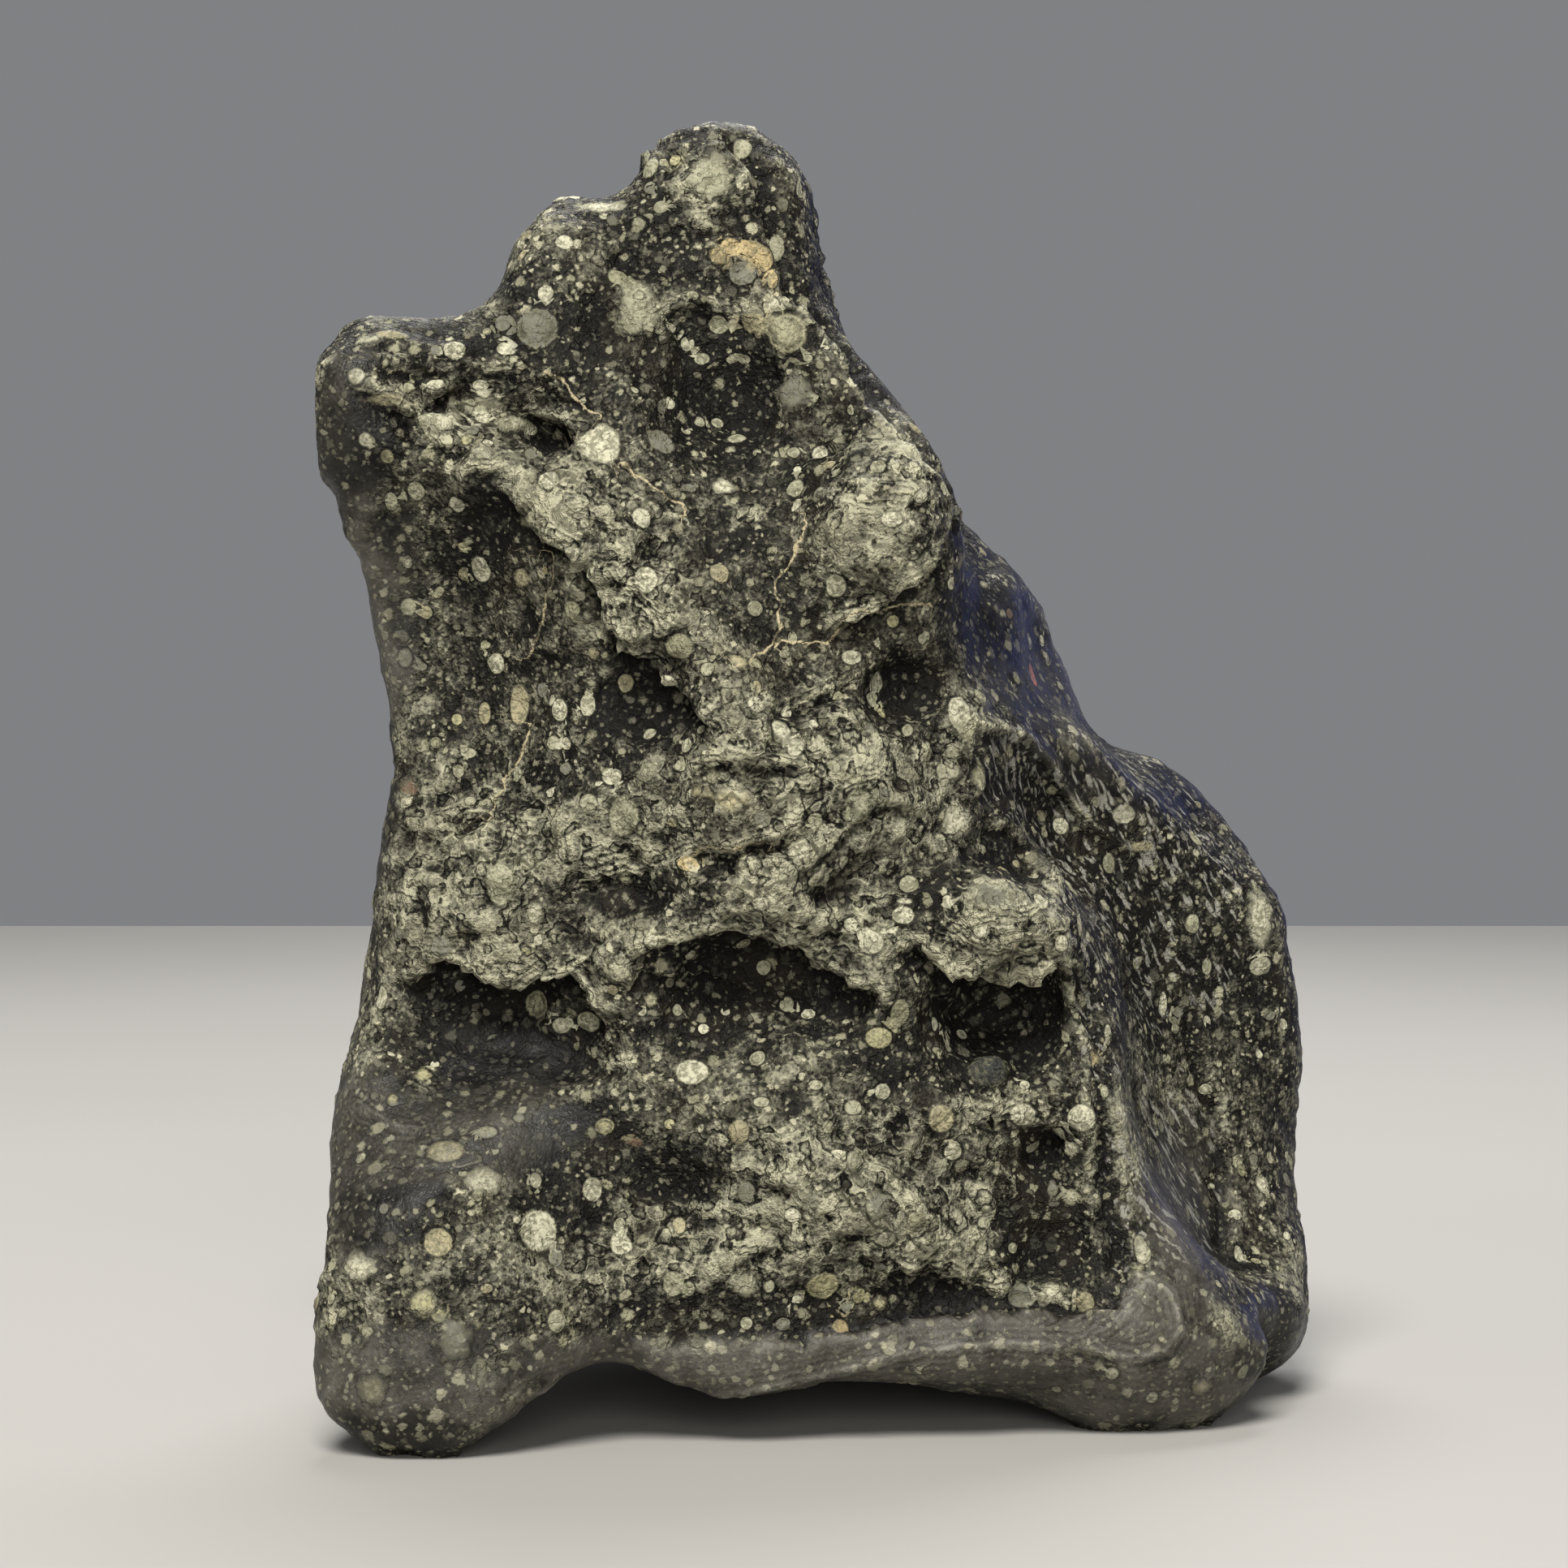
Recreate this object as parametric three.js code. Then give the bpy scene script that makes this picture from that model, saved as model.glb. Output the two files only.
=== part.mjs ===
// A chondrite meteorite: one stone that the air and then the desert wind carved into thumbprint hollows with
// rounded rims between them. It stands on worn flats under its left foot, its right foot and its heel.
//
// Millimetres, +Z up, the broad front face towards -Y. The origin is on the ground, under the middle of the
// stone's bounding box.
//
// The stone is worked out as a field that is negative inside it and about a distance near its skin:
//   1. a body, whose cross-sections are rounded polygons that change with the height,
//   2. trimmed to the outline that the stone shows from the front, and set on three feet,
//   3. with lumps and ribs joined on, and thumbprints, notches and pits carved out.
// A net is then drawn over the field's skin, and its points are spread evenly.
import * as THREE from "three";

// ---- driving dimensions -----------------------------------------------------------------------------------

const HEIGHT = 92; // of the horn's tip, before the net's points are spread and worn
const NET_CELL = 2.3; // width of the net's meshes
const NET_BOX = new THREE.Box3(new THREE.Vector3(-41, -28, -5.5), new THREE.Vector3(44, 30, HEIGHT + 4));

const SKIN = 4; // how far the skin lies outside the body's core sections
const TRIM_BLEND = 5; // how softly the trimmed edge turns into the faces
const UNDERSIDE = 3.8; // height of the underside above the ground, before the feet
const LUMP_BLEND = 3.5;
const SCOOP_BLEND = 1.6; // how sharp the rims between thumbprints are

const OUTLINE_STEPS = 110; // straight runs that the trimming outline is drawn with
const SECTIONS_PER_MM = 5; // how finely the body's sections are told apart by height
const TILT_SPAN = 3; // how far round a place the skin's tilt is felt there, for a lump or a scoop
const NET_SPAN = 0.4; // and for a point of the net

const SPREAD_ROUNDS = 20; // passes that spread the net's points evenly over the skin
const SPREAD_SHARE = 0.6; // how far a pass moves a point towards the middle of its neighbours
const RIM_WEAR = 0.35; // how far the sharpest rims are worn back at the end
const GROUND_WEAR = 0.25; // what lies lower than this is worn flat

// ---- the body: core sections from the ground up -----------------------------------------------------------
// Each section goes round the stone: front left edge, front middle, front right edge, right middle, back right
// edge, back middle, back left edge, left middle. Each corner is [x, y].

const SECTIONS = [
  { z: -4, ring: [[-28, -15], [-6, -12], [19, -10], [24, -3], [32, 4], [8, 17], [-18, 17], [-25, 0]] },
  { z: 8, ring: [[-29, -17.5], [-6, -16], [20, -12], [25.5, -0.5], [33.5, 9], [8, 20], [-18, 19], [-25, 0]] },
  {
    z: 20,
    ring: [[-28.8, -13], [-6, -15], [18.5, -11.5], [23.5, 0.5], [34, 12], [8, 20.5], [-18, 18], [-25, 2]],
  },
  {
    z: 32,
    ring: [[-27.5, -7.5], [-5, -14], [15.5, -10.5], [20.5, 1], [33.4, 13], [6, 18], [-18, 15], [-24.5, 2]],
  },
  {
    z: 44,
    ring: [[-26.5, -6.5], [-6, -14.5], [8.5, -10], [14.5, 0], [25.5, 11], [3, 15], [-17, 12], [-24, 1.5]],
  },
  { z: 56, ring: [[-27, -6.5], [-8, -12.5], [5.5, -9], [9.5, -1], [15, 7], [0, 11], [-16, 8.5], [-24, 1]] },
  {
    z: 68,
    ring: [[-31, -8], [-11, -9], [4.5, -8.5], [5.5, -3.5], [6.5, 1.5], [-5, 6.5], [-17, 4.5], [-27, -2]],
  },
  {
    z: 80,
    ring: [[-31, -6], [-13, -5], [-2, -3.5], [-0.5, -1.5], [0, 1], [-9, 3.5], [-17, 1.5], [-26, -2.5]],
  },
  {
    z: 94,
    ring: [[-22, -3], [-10, -2], [-3, -1.5], [-2, -0.5], [-1, 0.8], [-8, 1.5], [-14, 0.5], [-21, -2]],
  },
];

// The outline from the front, up the left side, over the ear, the knob and the horn, and down the shoulder.
const OUTLINE = [
  [-24, -8], [-30, 0.3], [-31.8, 4], [-31.9, 12], [-31.6, 20.5], [-30.4, 29], [-29.3, 42], [-29.2, 48],
  [-29.9, 55.5], [-31.2, 61], [-33, 66], [-33.8, 70], [-33.2, 73.5], [-30.8, 75.7], [-27.5, 75.7],
  [-24.3, 76.2], [-22, 77.8], [-20.1, 81.6], [-18.5, 84.2], [-16.8, 85.2], [-13.2, 85.2], [-12, 87.1],
  [-10.5, 89.2], [-8, 90.6], [-5.4, 90.8], [-2.8, 89.8], [-0.4, 88.2], [1.2, 86], [1.6, 82.5], [2, 79.4],
  [3.8, 75], [6.9, 70.8], [9.4, 67.4], [10.8, 64], [12, 61.6], [14.7, 59.8], [17, 57.6], [17.9, 55.2],
  [18, 53.2], [19.2, 51.3], [20.4, 48.6], [22.2, 46.8], [25.2, 45.9], [27.8, 44.4], [30.4, 41.9],
  [33.6, 38.2], [36, 34.6], [37, 31.5], [37.2, 27], [36.8, 22.7], [37, 17], [37, 8], [36.4, 2.5], [33, -8],
];

// The feet are lobes under the body: their middles and their half sizes.
const FEET = [
  { middle: [-24.6, -14, 7.2], half: [8.4, 8.2, 8] }, // left foot
  { middle: [22.5, -10.5, 6.4], half: [8.3, 6.5, 6.9] }, // right foot
  { middle: [12, -10, 8.5], half: [9, 6, 6.2] }, // inner side of the right foot
  { middle: [30.5, 4.5, 6.8], half: [6.3, 8.2, 7.2] }, // outer side of the right foot
  { middle: [1, 13, 7], half: [19, 9, 7.8] }, // heel
];

// ---- lumps, ribs and carving ------------------------------------------------------------------------------
// A place on the skin is [u, z] in millimetres as seen from one side: x from the front and the back, y from the
// left and the right, and [x, y] from below.

// Lumps stand proud: a pair of half sizes across the face, and how far they rise.
const LUMPS = [
  { side: "front", at: [5, 61.5], half: [5.2, 5.5], rise: 3 }, // lobe on the upper right edge
  { side: "front", at: [12.6, 35], half: [5.2, 3.6], rise: 3.2 }, // tongue above the right pocket
  { side: "front", at: [2, 43.8], half: [7, 4.6], rise: 2 }, // middle of the face
  { side: "front", at: [-21.5, 38], half: [7.5, 6.8], rise: 2.4 }, // brow above the left pocket
  { side: "front", at: [-24, 10], half: [6, 8], rise: 1.6 }, // above the left foot
];

// Ribs are low ridges that run from one place to another.
const RIBS = [
  { side: "front", from: [-30, 71], to: [-20.5, 65.6], half: 2.2, rise: 1.5 }, // ledge below the ear
  { side: "front", from: [-20.5, 65.6], to: [-14.2, 60.5], half: 2.6, rise: 2 }, // the slanting spine
  { side: "front", from: [-14.2, 60.5], to: [-6, 49.2], half: 2.4, rise: 1.8 },
  { side: "front", from: [-12.5, 33.6], to: [-2, 39], half: 2, rise: 1.2 }, // ridge that climbs to the middle
  { side: "front", from: [-1.5, 35.6], to: [5.2, 31], half: 2, rise: 1.8 }, // ledge over the middle pocket
  { side: "front", from: [10, 23], to: [18.5, 21.4], half: 1.6, rise: 1.1 }, // ledge over the lower right hollow
  { side: "front", from: [-1, 18.8], to: [11.5, 11], half: 3, rise: 1.3 }, // swell of the lower slope
  { side: "front", from: [-16.5, 5.6], to: [-4, 5.4], half: 2, rise: 1 }, // lower lip
  { side: "front", from: [-4, 5.4], to: [21.5, 8.2], half: 2, rise: 1 },
];

// Rims are ribs that are left standing between the thumbprints.
const RIMS = [
  { side: "right", from: [-11, 48.5], to: [-1, 45.6], half: 1.6, rise: 1 }, // across the right side
  { side: "right", from: [-1, 45.6], to: [8, 34], half: 1.6, rise: 1.2 },
  { side: "right", from: [8, 34], to: [8.5, 23], half: 1.6, rise: 0.7 },
  { side: "right", from: [-9, 9], to: [-2, 7], half: 1.5, rise: 0.8 }, // fold at the end of the lower lip
];

// Scoops are carved: half sizes across the mouth, the depth, a roll in the face, and a tip that turns the bowl
// downwards, so that its roof is steep and its floor runs out gently.
const SCOOPS = [
  { side: "front", at: [-3.6, 70], half: [7.4, 7.6], depth: 3.4, tip: 8 },
  { side: "front", at: [-24.8, 58.6], half: [6.2, 8.5], depth: 2.4, tip: 12, roll: 8 },
  { side: "front", at: [-11.3, 50.2], half: [4.6, 3.8], depth: 2, tip: 8 },
  { side: "front", at: [-19.5, 49], half: [5, 5.5], depth: 1.2 },
  { side: "front", at: [7.4, 51.4], half: [4.6, 3], depth: 1.8, tip: 10, roll: 10 },
  { side: "front", at: [13.2, 40.2], half: [4, 2.6], depth: 1.8, tip: 10 },
  { side: "front", at: [-11.8, 38], half: [3.6, 2.2], depth: 1.2, tip: 10, roll: 20 },
  { side: "front", at: [13.7, 27.8], half: [6, 4.2], depth: 3.6, tip: 18 },
  { side: "front", at: [-4.6, 30], half: [8.4, 4.4], depth: 3.2, roll: 12, tip: 18 },
  { side: "front", at: [-20.8, 27.2], half: [8, 4], depth: 3, tip: 18, roll: -4 },
  { side: "front", at: [16.4, 15.4], half: [5, 6], depth: 2.2 },
  { side: "front", at: [15.7, 19.2], half: [1.8, 1.8], depth: 1.4 },
  { side: "front", at: [-9, 17.6], half: [5.4, 3.2], depth: 1.3, roll: -25 },
  { side: "front", at: [6.5, 9.8], half: [9, 2], depth: 1, roll: 4 },
  { side: "front", at: [-22, 69.6], half: [5.5, 1.7], depth: 1.8, tip: 12 },
  { side: "front", at: [-18.2, 68.6], half: [2.4, 1.8], depth: 2.2, tip: 15 },
  { side: "front", at: [-12.8, 79.8], half: [2.8, 3.2], depth: 1.2, roll: -20 },
  { side: "front", at: [-12, 74.4], half: [3.6, 3], depth: 1.1 },
  { side: "front", at: [-6.8, 77], half: [3, 1.8], depth: 1.2, tip: 15 },
  // the right side
  { side: "right", at: [-5, 40], half: [4, 5.5], depth: 1.7, roll: 25 },
  { side: "right", at: [0, 29], half: [4.5, 6.5], depth: 1.8, roll: 25 },
  { side: "right", at: [-1, 14], half: [5, 7.5], depth: 1.2 },
  { side: "right", at: [3, 54], half: [4.5, 3.5], depth: 1.3, roll: 20 },
  { side: "right", at: [-3, 62], half: [4, 4], depth: 1.2 },
  { side: "right", at: [13, 26], half: [3.5, 6], depth: 1.3 },
  { side: "right", at: [11, 12], half: [4, 5], depth: 1 },
  // the left side
  { side: "left", at: [-2, 60], half: [7, 9], depth: 2.2 },
  { side: "left", at: [2, 40], half: [9, 9], depth: 2.6 },
  { side: "left", at: [0, 20], half: [8, 8], depth: 2.2 },
  { side: "left", at: [-10, 28], half: [5, 6], depth: 1.4 },
  // the back
  { side: "back", at: [21, 37], half: [8, 6.5], depth: 2.6, roll: 25 },
  { side: "back", at: [6, 45], half: [8, 9], depth: 3, tip: 10 },
  { side: "back", at: [-11, 57], half: [6, 8.5], depth: 2.4, roll: -15 },
  { side: "back", at: [-3, 71], half: [5.5, 7], depth: 2 },
  { side: "back", at: [-15, 38], half: [7, 8], depth: 2.6, tip: 10 },
  { side: "back", at: [3, 27], half: [10, 6.5], depth: 3, tip: 14, roll: 12 },
  { side: "back", at: [24, 19], half: [7, 9], depth: 2.2 },
  { side: "back", at: [-13, 20], half: [8, 6], depth: 2.4, tip: 10, roll: -20 },
  { side: "back", at: [9, 12], half: [6, 5], depth: 1.8 },
  { side: "back", at: [-9, 9], half: [5, 4], depth: 1.4 },
  { side: "back", at: [-24, 70], half: [4.5, 4], depth: 1.4 },
  { side: "back", at: [14, 55], half: [4, 4.5], depth: 1.4 },
  // underneath, between the feet
  { side: "under", at: [-14.5, -17], half: [4, 7], depth: 1.6 },
  { side: "under", at: [-2, -7], half: [9, 7], depth: 2.2 },
  { side: "under", at: [-17, 3], half: [7, 8], depth: 2.4 },
];

// Small swells left by the wind, as [wavelength, height] pairs.
const SWELLS = [[11, 0.7], [5.5, 0.35]];

// ---- small helpers ----------------------------------------------------------------------------------------

// The views from which places are given: the way from the eye into the stone.
const INWARD = {
  front: new THREE.Vector3(0, 1, 0),
  back: new THREE.Vector3(0, -1, 0),
  right: new THREE.Vector3(-1, 0, 0),
  left: new THREE.Vector3(1, 0, 0),
  under: new THREE.Vector3(0, 0, 1),
};

// The smaller of two fields, rounded where they cross.
const softMin = (a, b, blend) => {
  const h = Math.max(blend - Math.abs(a - b), 0) / blend;
  return Math.min(a, b) - (h * h * blend) / 4;
};
const softMax = (a, b, blend) => -softMin(-a, -b, blend);

// Signed distance from the point (u, v) to a closed polygon of [u, v] corners: negative inside.
function polygonDistance(u, v, corners) {
  let nearest = Infinity;
  let inside = false;
  for (let i = 0, j = corners.length - 1; i < corners.length; j = i++) {
    const [au, av] = corners[j];
    const [bu, bv] = corners[i];
    const eu = bu - au;
    const ev = bv - av;
    const t = THREE.MathUtils.clamp(((u - au) * eu + (v - av) * ev) / (eu * eu + ev * ev), 0, 1);
    nearest = Math.min(nearest, (u - au - t * eu) ** 2 + (v - av - t * ev) ** 2);
    if (av > v !== bv > v && u < ((au - bu) * (v - bv)) / (av - bv) + bu) inside = !inside;
  }
  return inside ? -Math.sqrt(nearest) : Math.sqrt(nearest);
}

// A smooth random field between -1 and 1, the same in each run.
function swell(x, y, z) {
  const [i, j, k] = [Math.floor(x), Math.floor(y), Math.floor(z)];
  const [fx, fy, fz] = [x - i, y - j, z - k].map((t) => t * t * (3 - 2 * t));
  const corner = (a, b, c) => {
    const s = Math.sin((i + a) * 127.1 + (j + b) * 311.7 + (k + c) * 74.7) * 43758.5453;
    return 2 * (s - Math.floor(s)) - 1;
  };
  const { lerp } = THREE.MathUtils;
  const row = (b, c) => lerp(corner(0, b, c), corner(1, b, c), fx);
  return lerp(lerp(row(0, 0), row(1, 0), fy), lerp(row(0, 1), row(1, 1), fy), fz);
}

// ---- the field --------------------------------------------------------------------------------------------

// The section at a height, along one smooth path per corner.
function sectionAt(z) {
  const last = SECTIONS.length - 1;
  const above = SECTIONS.findIndex((s) => s.z > z);
  const upper = above < 0 ? last : Math.max(above, 1);
  const [low, high] = [SECTIONS[upper - 1], SECTIONS[upper]];
  const before = SECTIONS[Math.max(upper - 2, 0)];
  const after = SECTIONS[Math.min(upper + 1, last)];
  const t = THREE.MathUtils.clamp((z - low.z) / (high.z - low.z), 0, 1);
  const path = (a, b, c, d) =>
    b + 0.5 * t * (c - a + t * (2 * a - 5 * b + 4 * c - d + t * (3 * (b - c) + d - a)));
  return low.ring.map((corner, n) =>
    corner.map((value, axis) => path(before.ring[n][axis], value, high.ring[n][axis], after.ring[n][axis])),
  );
}

// Each section is worked out once and kept.
const keptSections = new Map();
function keptSection(z) {
  const step = Math.round(z * SECTIONS_PER_MM);
  if (!keptSections.has(step)) keptSections.set(step, sectionAt(step / SECTIONS_PER_MM));
  return keptSections.get(step);
}

const trimLine = new THREE.CatmullRomCurve3(
  OUTLINE.map(([x, z]) => new THREE.Vector3(x, 0, z)), true, "centripetal",
).getPoints(OUTLINE_STEPS).slice(0, -1).map((p) => [p.x, p.z]);

function body(p) {
  const sides = polygonDistance(p.x, p.y, keptSection(p.z)) - SKIN;
  let gap = softMax(sides, UNDERSIDE - p.z, TRIM_BLEND);
  for (const { middle: [x, y, z], half: [a, b, c] } of FEET) {
    const r = Math.hypot((p.x - x) / a, (p.y - y) / b, (p.z - z) / c);
    gap = softMin(gap, (r - 1) * Math.min(a, b, c), LUMP_BLEND);
  }
  return softMax(gap, polygonDistance(p.x, p.z, trimLine), TRIM_BLEND);
}

// The way out of the stone at a point, by small steps of a field.
const probe = new THREE.Vector3();
function outward(field, p, step) {
  const slope = new THREE.Vector3();
  for (const axis of ["x", "y", "z"]) {
    probe.copy(p)[axis] += step;
    const ahead = field(probe);
    probe[axis] -= 2 * step;
    slope[axis] = (ahead - field(probe)) / (2 * step);
  }
  return slope;
}

// Where a line from `start` first meets the field's skin, walked in strides well short of the gap that is left.
function meet(field, start, way) {
  const [near, creep] = [0.02, 0.01];
  const p = start.clone();
  for (let gap = field(p); gap > near; gap = field(p)) p.addScaledVector(way, gap * 0.6 + creep);
  return p;
}

// A local frame on the skin for a lump or a scoop: its middle, and the axes across, up and out.
function seat({ side, at: [u, v], roll = 0, tip = 0 }, skin = body) {
  const inward = INWARD[side];
  const under = side === "under";
  const middle = new THREE.Vector3();
  if (under) middle.set(u, v, 0);
  else if (inward.x === 0) middle.set(u, 0, v);
  else middle.set(0, u, v);
  middle.copy(meet(skin, middle.addScaledVector(inward, -HEIGHT), inward));
  const out = under ? inward.clone().negate() : outward(skin, middle, TILT_SPAN).normalize();
  const upright = new THREE.Vector3(0, under ? 1 : 0, under ? 0 : 1);
  const across = upright.cross(out).normalize();
  out.applyAxisAngle(across, THREE.MathUtils.degToRad(tip));
  const up = new THREE.Vector3().crossVectors(out, across);
  across.applyAxisAngle(out, THREE.MathUtils.degToRad(roll));
  up.applyAxisAngle(out, THREE.MathUtils.degToRad(roll));
  return { middle, across, up, out };
}

const offset = new THREE.Vector3();
function within({ middle, across, up, out }, p) {
  offset.subVectors(p, middle);
  return [offset.dot(across), offset.dot(up), offset.dot(out)];
}

// A lump is an ellipsoid, sunk by half its own half height, so it is this much wider than where it meets the skin.
const SUNK_WIDTH = 1.15;
const lumps = LUMPS.map((lump) => {
  const place = seat(lump);
  const [a, b] = lump.half.map((half) => half * SUNK_WIDTH);
  const thick = lump.rise * 2;
  return (p) => {
    const [u, v, w] = within(place, p);
    return (Math.hypot(u / a, v / b, (w + lump.rise) / thick) - 1) * Math.min(a, b, thick);
  };
});

const ridge = (skin) => (rib) => {
  const [from, to] = [rib.from, rib.to].map((at) => seat({ side: rib.side, at }, skin));
  const run = to.middle.clone().sub(from.middle);
  return (p) => {
    offset.subVectors(p, from.middle);
    const t = THREE.MathUtils.clamp(offset.dot(run) / run.lengthSq(), 0, 1);
    return offset.addScaledVector(run, -t).addScaledVector(from.out, rib.half - rib.rise).length() - rib.half;
  };
};
const ribs = RIBS.map(ridge(body));

// A scoop is a bowl that opens outwards.
const scoops = SCOOPS.map((scoop) => {
  const place = seat(scoop);
  const [a, b] = scoop.half;
  return (p) => {
    const [u, v, w] = within(place, p);
    const spread = (u / a) ** 2 + (v / b) ** 2;
    return (w + scoop.depth * (1 - spread)) / (1 + (scoop.depth * Math.sqrt(spread)) / Math.min(a, b));
  };
});

function carved(p) {
  let gap = body(p);
  for (const lump of lumps) gap = softMin(gap, lump(p), LUMP_BLEND);
  for (const rib of ribs) gap = softMin(gap, rib(p), LUMP_BLEND);
  for (const scoop of scoops) gap = softMax(gap, scoop(p), SCOOP_BLEND);
  return gap;
}

const rims = RIMS.map(ridge(carved));

function stoneField(p) {
  let gap = carved(p);
  for (const rim of rims) gap = softMin(gap, rim(p), LUMP_BLEND);
  for (const [length, height] of SWELLS) gap += height * swell(p.x / length, p.y / length, p.z / length);
  return Math.max(gap, -p.z); // worn flat where it meets the ground
}

// ---- the skin ---------------------------------------------------------------------------------------------

// The corners of a net cell, as steps from its lowest corner, and the cell's edges as pairs of those corners.
const CORNERS = [0, 1, 2, 3, 4, 5, 6, 7].map((n) => [n & 1, (n >> 1) & 1, n >> 2]);
const EDGES = [0, 1, 2].flatMap((axis) =>
  [0, 1, 2, 3, 4, 5, 6, 7].filter((n) => !CORNERS[n][axis]).map((n) => [n, n + (1 << axis)]),
);

// Draws the net: one point in each cell that the skin passes through, and four-cornered meshes between the
// cells round each grid edge that the skin crosses.
function drawNet() {
  const size = NET_BOX.getSize(new THREE.Vector3()).divideScalar(NET_CELL).ceil();
  const [nx, ny, nz] = size.addScalar(1).toArray();
  const index = (i, j, k) => i + nx * (j + ny * k);
  const place = (i, j, k) => new THREE.Vector3(i, j, k).multiplyScalar(NET_CELL).add(NET_BOX.min);
  const gaps = new Float64Array(nx * ny * nz);
  for (let k = 0; k < nz; k++)
    for (let j = 0; j < ny; j++)
      for (let i = 0; i < nx; i++) gaps[index(i, j, k)] = stoneField(place(i, j, k));

  const points = [];
  const meshes = [];
  const pointOf = new Map();
  for (let k = 0; k < nz - 1; k++)
    for (let j = 0; j < ny - 1; j++)
      for (let i = 0; i < nx - 1; i++) {
        const crossings = EDGES.flatMap(([a, b]) => {
          const [from, to] = [a, b].map((n) => CORNERS[n].map((step, axis) => step + [i, j, k][axis]));
          const [start, end] = [gaps[index(...from)], gaps[index(...to)]];
          return start < 0 === end < 0 ? [] : [place(...from).lerp(place(...to), start / (start - end))];
        });
        if (!crossings.length) continue;
        pointOf.set(index(i, j, k), points.length);
        const sum = crossings.reduce((total, p) => total.add(p), new THREE.Vector3());
        points.push(sum.divideScalar(crossings.length));
        // meshes round the edges that start at this cell's lowest corner
        const inside = gaps[index(i, j, k)] < 0;
        for (const [axis, next] of [[1, 0, 0], [0, 1, 0], [0, 0, 1]].entries()) {
          if (gaps[index(i + next[0], j + next[1], k + next[2])] < 0 === inside) continue;
          const [b, c] = [(axis + 1) % 3, (axis + 2) % 3];
          const round = [[0, 0], [-1, 0], [-1, -1], [0, -1]].map(([db, dc]) => {
            const cell = [i, j, k];
            cell[b] += db;
            cell[c] += dc;
            return pointOf.get(index(...cell));
          });
          meshes.push(inside ? round : round.reverse());
        }
      }
  return { points, meshes };
}

// Moves a point on to the skin along the field's slope, by a millimetre or so at most.
function settle(p) {
  const [longest, gentlest] = [1, 0.3];
  const slope = outward(stoneField, p, NET_SPAN);
  const stride = stoneField(p) / Math.max(slope.lengthSq(), gentlest);
  p.addScaledVector(slope, -THREE.MathUtils.clamp(stride, -longest, longest));
}

// Each point moves part of the way towards the middle of its neighbours.
function ease(points, meshes, share) {
  const sums = points.map(() => ({ total: new THREE.Vector3(), count: 0 }));
  for (const mesh of meshes) {
    mesh.forEach((n, corner) => {
      sums[n].total.add(points[mesh[(corner + 1) % 4]]);
      sums[n].count += 1;
    });
  }
  points.forEach((p, n) => p.lerp(sums[n].total.divideScalar(sums[n].count), share));
}

function stoneGeometry() {
  const { points, meshes } = drawNet();
  for (let round = 0; round < SPREAD_ROUNDS; round++) {
    ease(points, meshes, SPREAD_SHARE);
    points.forEach(settle);
  }
  ease(points, meshes, RIM_WEAR);
  for (const p of points) if (p.z < GROUND_WEAR) p.z = 0;

  // each mesh is halved along its shorter diagonal
  const faces = meshes.flatMap(([a, b, c, d]) =>
    points[a].distanceTo(points[c]) < points[b].distanceTo(points[d]) ? [a, b, c, a, c, d] : [a, b, d, b, c, d],
  );
  const geometry = new THREE.BufferGeometry().setFromPoints(points).setIndex(faces);
  geometry.computeBoundingBox();
  const middle = geometry.boundingBox.getCenter(new THREE.Vector3());
  geometry.translate(-middle.x, -middle.y, 0);
  geometry.computeVertexNormals();
  return geometry;
}

// ---- the stone --------------------------------------------------------------------------------------------

// Dark fine-grained matrix with a satin desert polish.
const blackStone = new THREE.MeshStandardMaterial({ color: "#34342f", roughness: 0.55, metalness: 0 });

const stone = new THREE.Mesh(stoneGeometry(), blackStone);
stone.name = "meteorite";

const meteorite = new THREE.Group();
meteorite.add(stone);

export default meteorite;
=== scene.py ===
"""A carbonaceous chondrite meteorite: black, wind-polished stone, full of pale round chondrules."""
import math
import random

import bmesh
import bpy
import numpy as np
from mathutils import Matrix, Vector, noise
from mathutils.bvhtree import BVHTree
from mathutils.kdtree import KDTree


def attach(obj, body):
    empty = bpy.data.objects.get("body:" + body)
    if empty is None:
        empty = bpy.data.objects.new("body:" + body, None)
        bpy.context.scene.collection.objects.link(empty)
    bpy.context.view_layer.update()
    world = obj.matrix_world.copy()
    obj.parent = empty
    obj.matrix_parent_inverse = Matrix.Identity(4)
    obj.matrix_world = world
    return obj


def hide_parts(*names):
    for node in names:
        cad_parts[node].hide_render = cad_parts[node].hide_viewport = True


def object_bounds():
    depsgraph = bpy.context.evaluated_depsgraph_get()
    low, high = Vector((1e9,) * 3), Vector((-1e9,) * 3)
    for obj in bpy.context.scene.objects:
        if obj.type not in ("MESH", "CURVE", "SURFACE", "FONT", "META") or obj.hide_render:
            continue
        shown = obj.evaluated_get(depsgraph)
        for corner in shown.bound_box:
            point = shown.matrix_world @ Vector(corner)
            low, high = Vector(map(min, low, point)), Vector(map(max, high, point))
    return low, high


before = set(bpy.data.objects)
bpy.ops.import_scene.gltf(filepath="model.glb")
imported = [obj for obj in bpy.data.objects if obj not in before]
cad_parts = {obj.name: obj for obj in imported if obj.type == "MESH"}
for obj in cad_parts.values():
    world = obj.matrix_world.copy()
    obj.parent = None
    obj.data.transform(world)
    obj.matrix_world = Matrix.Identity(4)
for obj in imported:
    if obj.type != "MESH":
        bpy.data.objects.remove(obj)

CAD_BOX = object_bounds()
MM = 0.001  # lengths in this script are in millimetres, and the stone's mesh is in metres

# ---- the front view ----------------------------------------------------------------------------------------
# Places on the stone's front are given as the camera sees them: steps right and down in a square frame.

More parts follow.
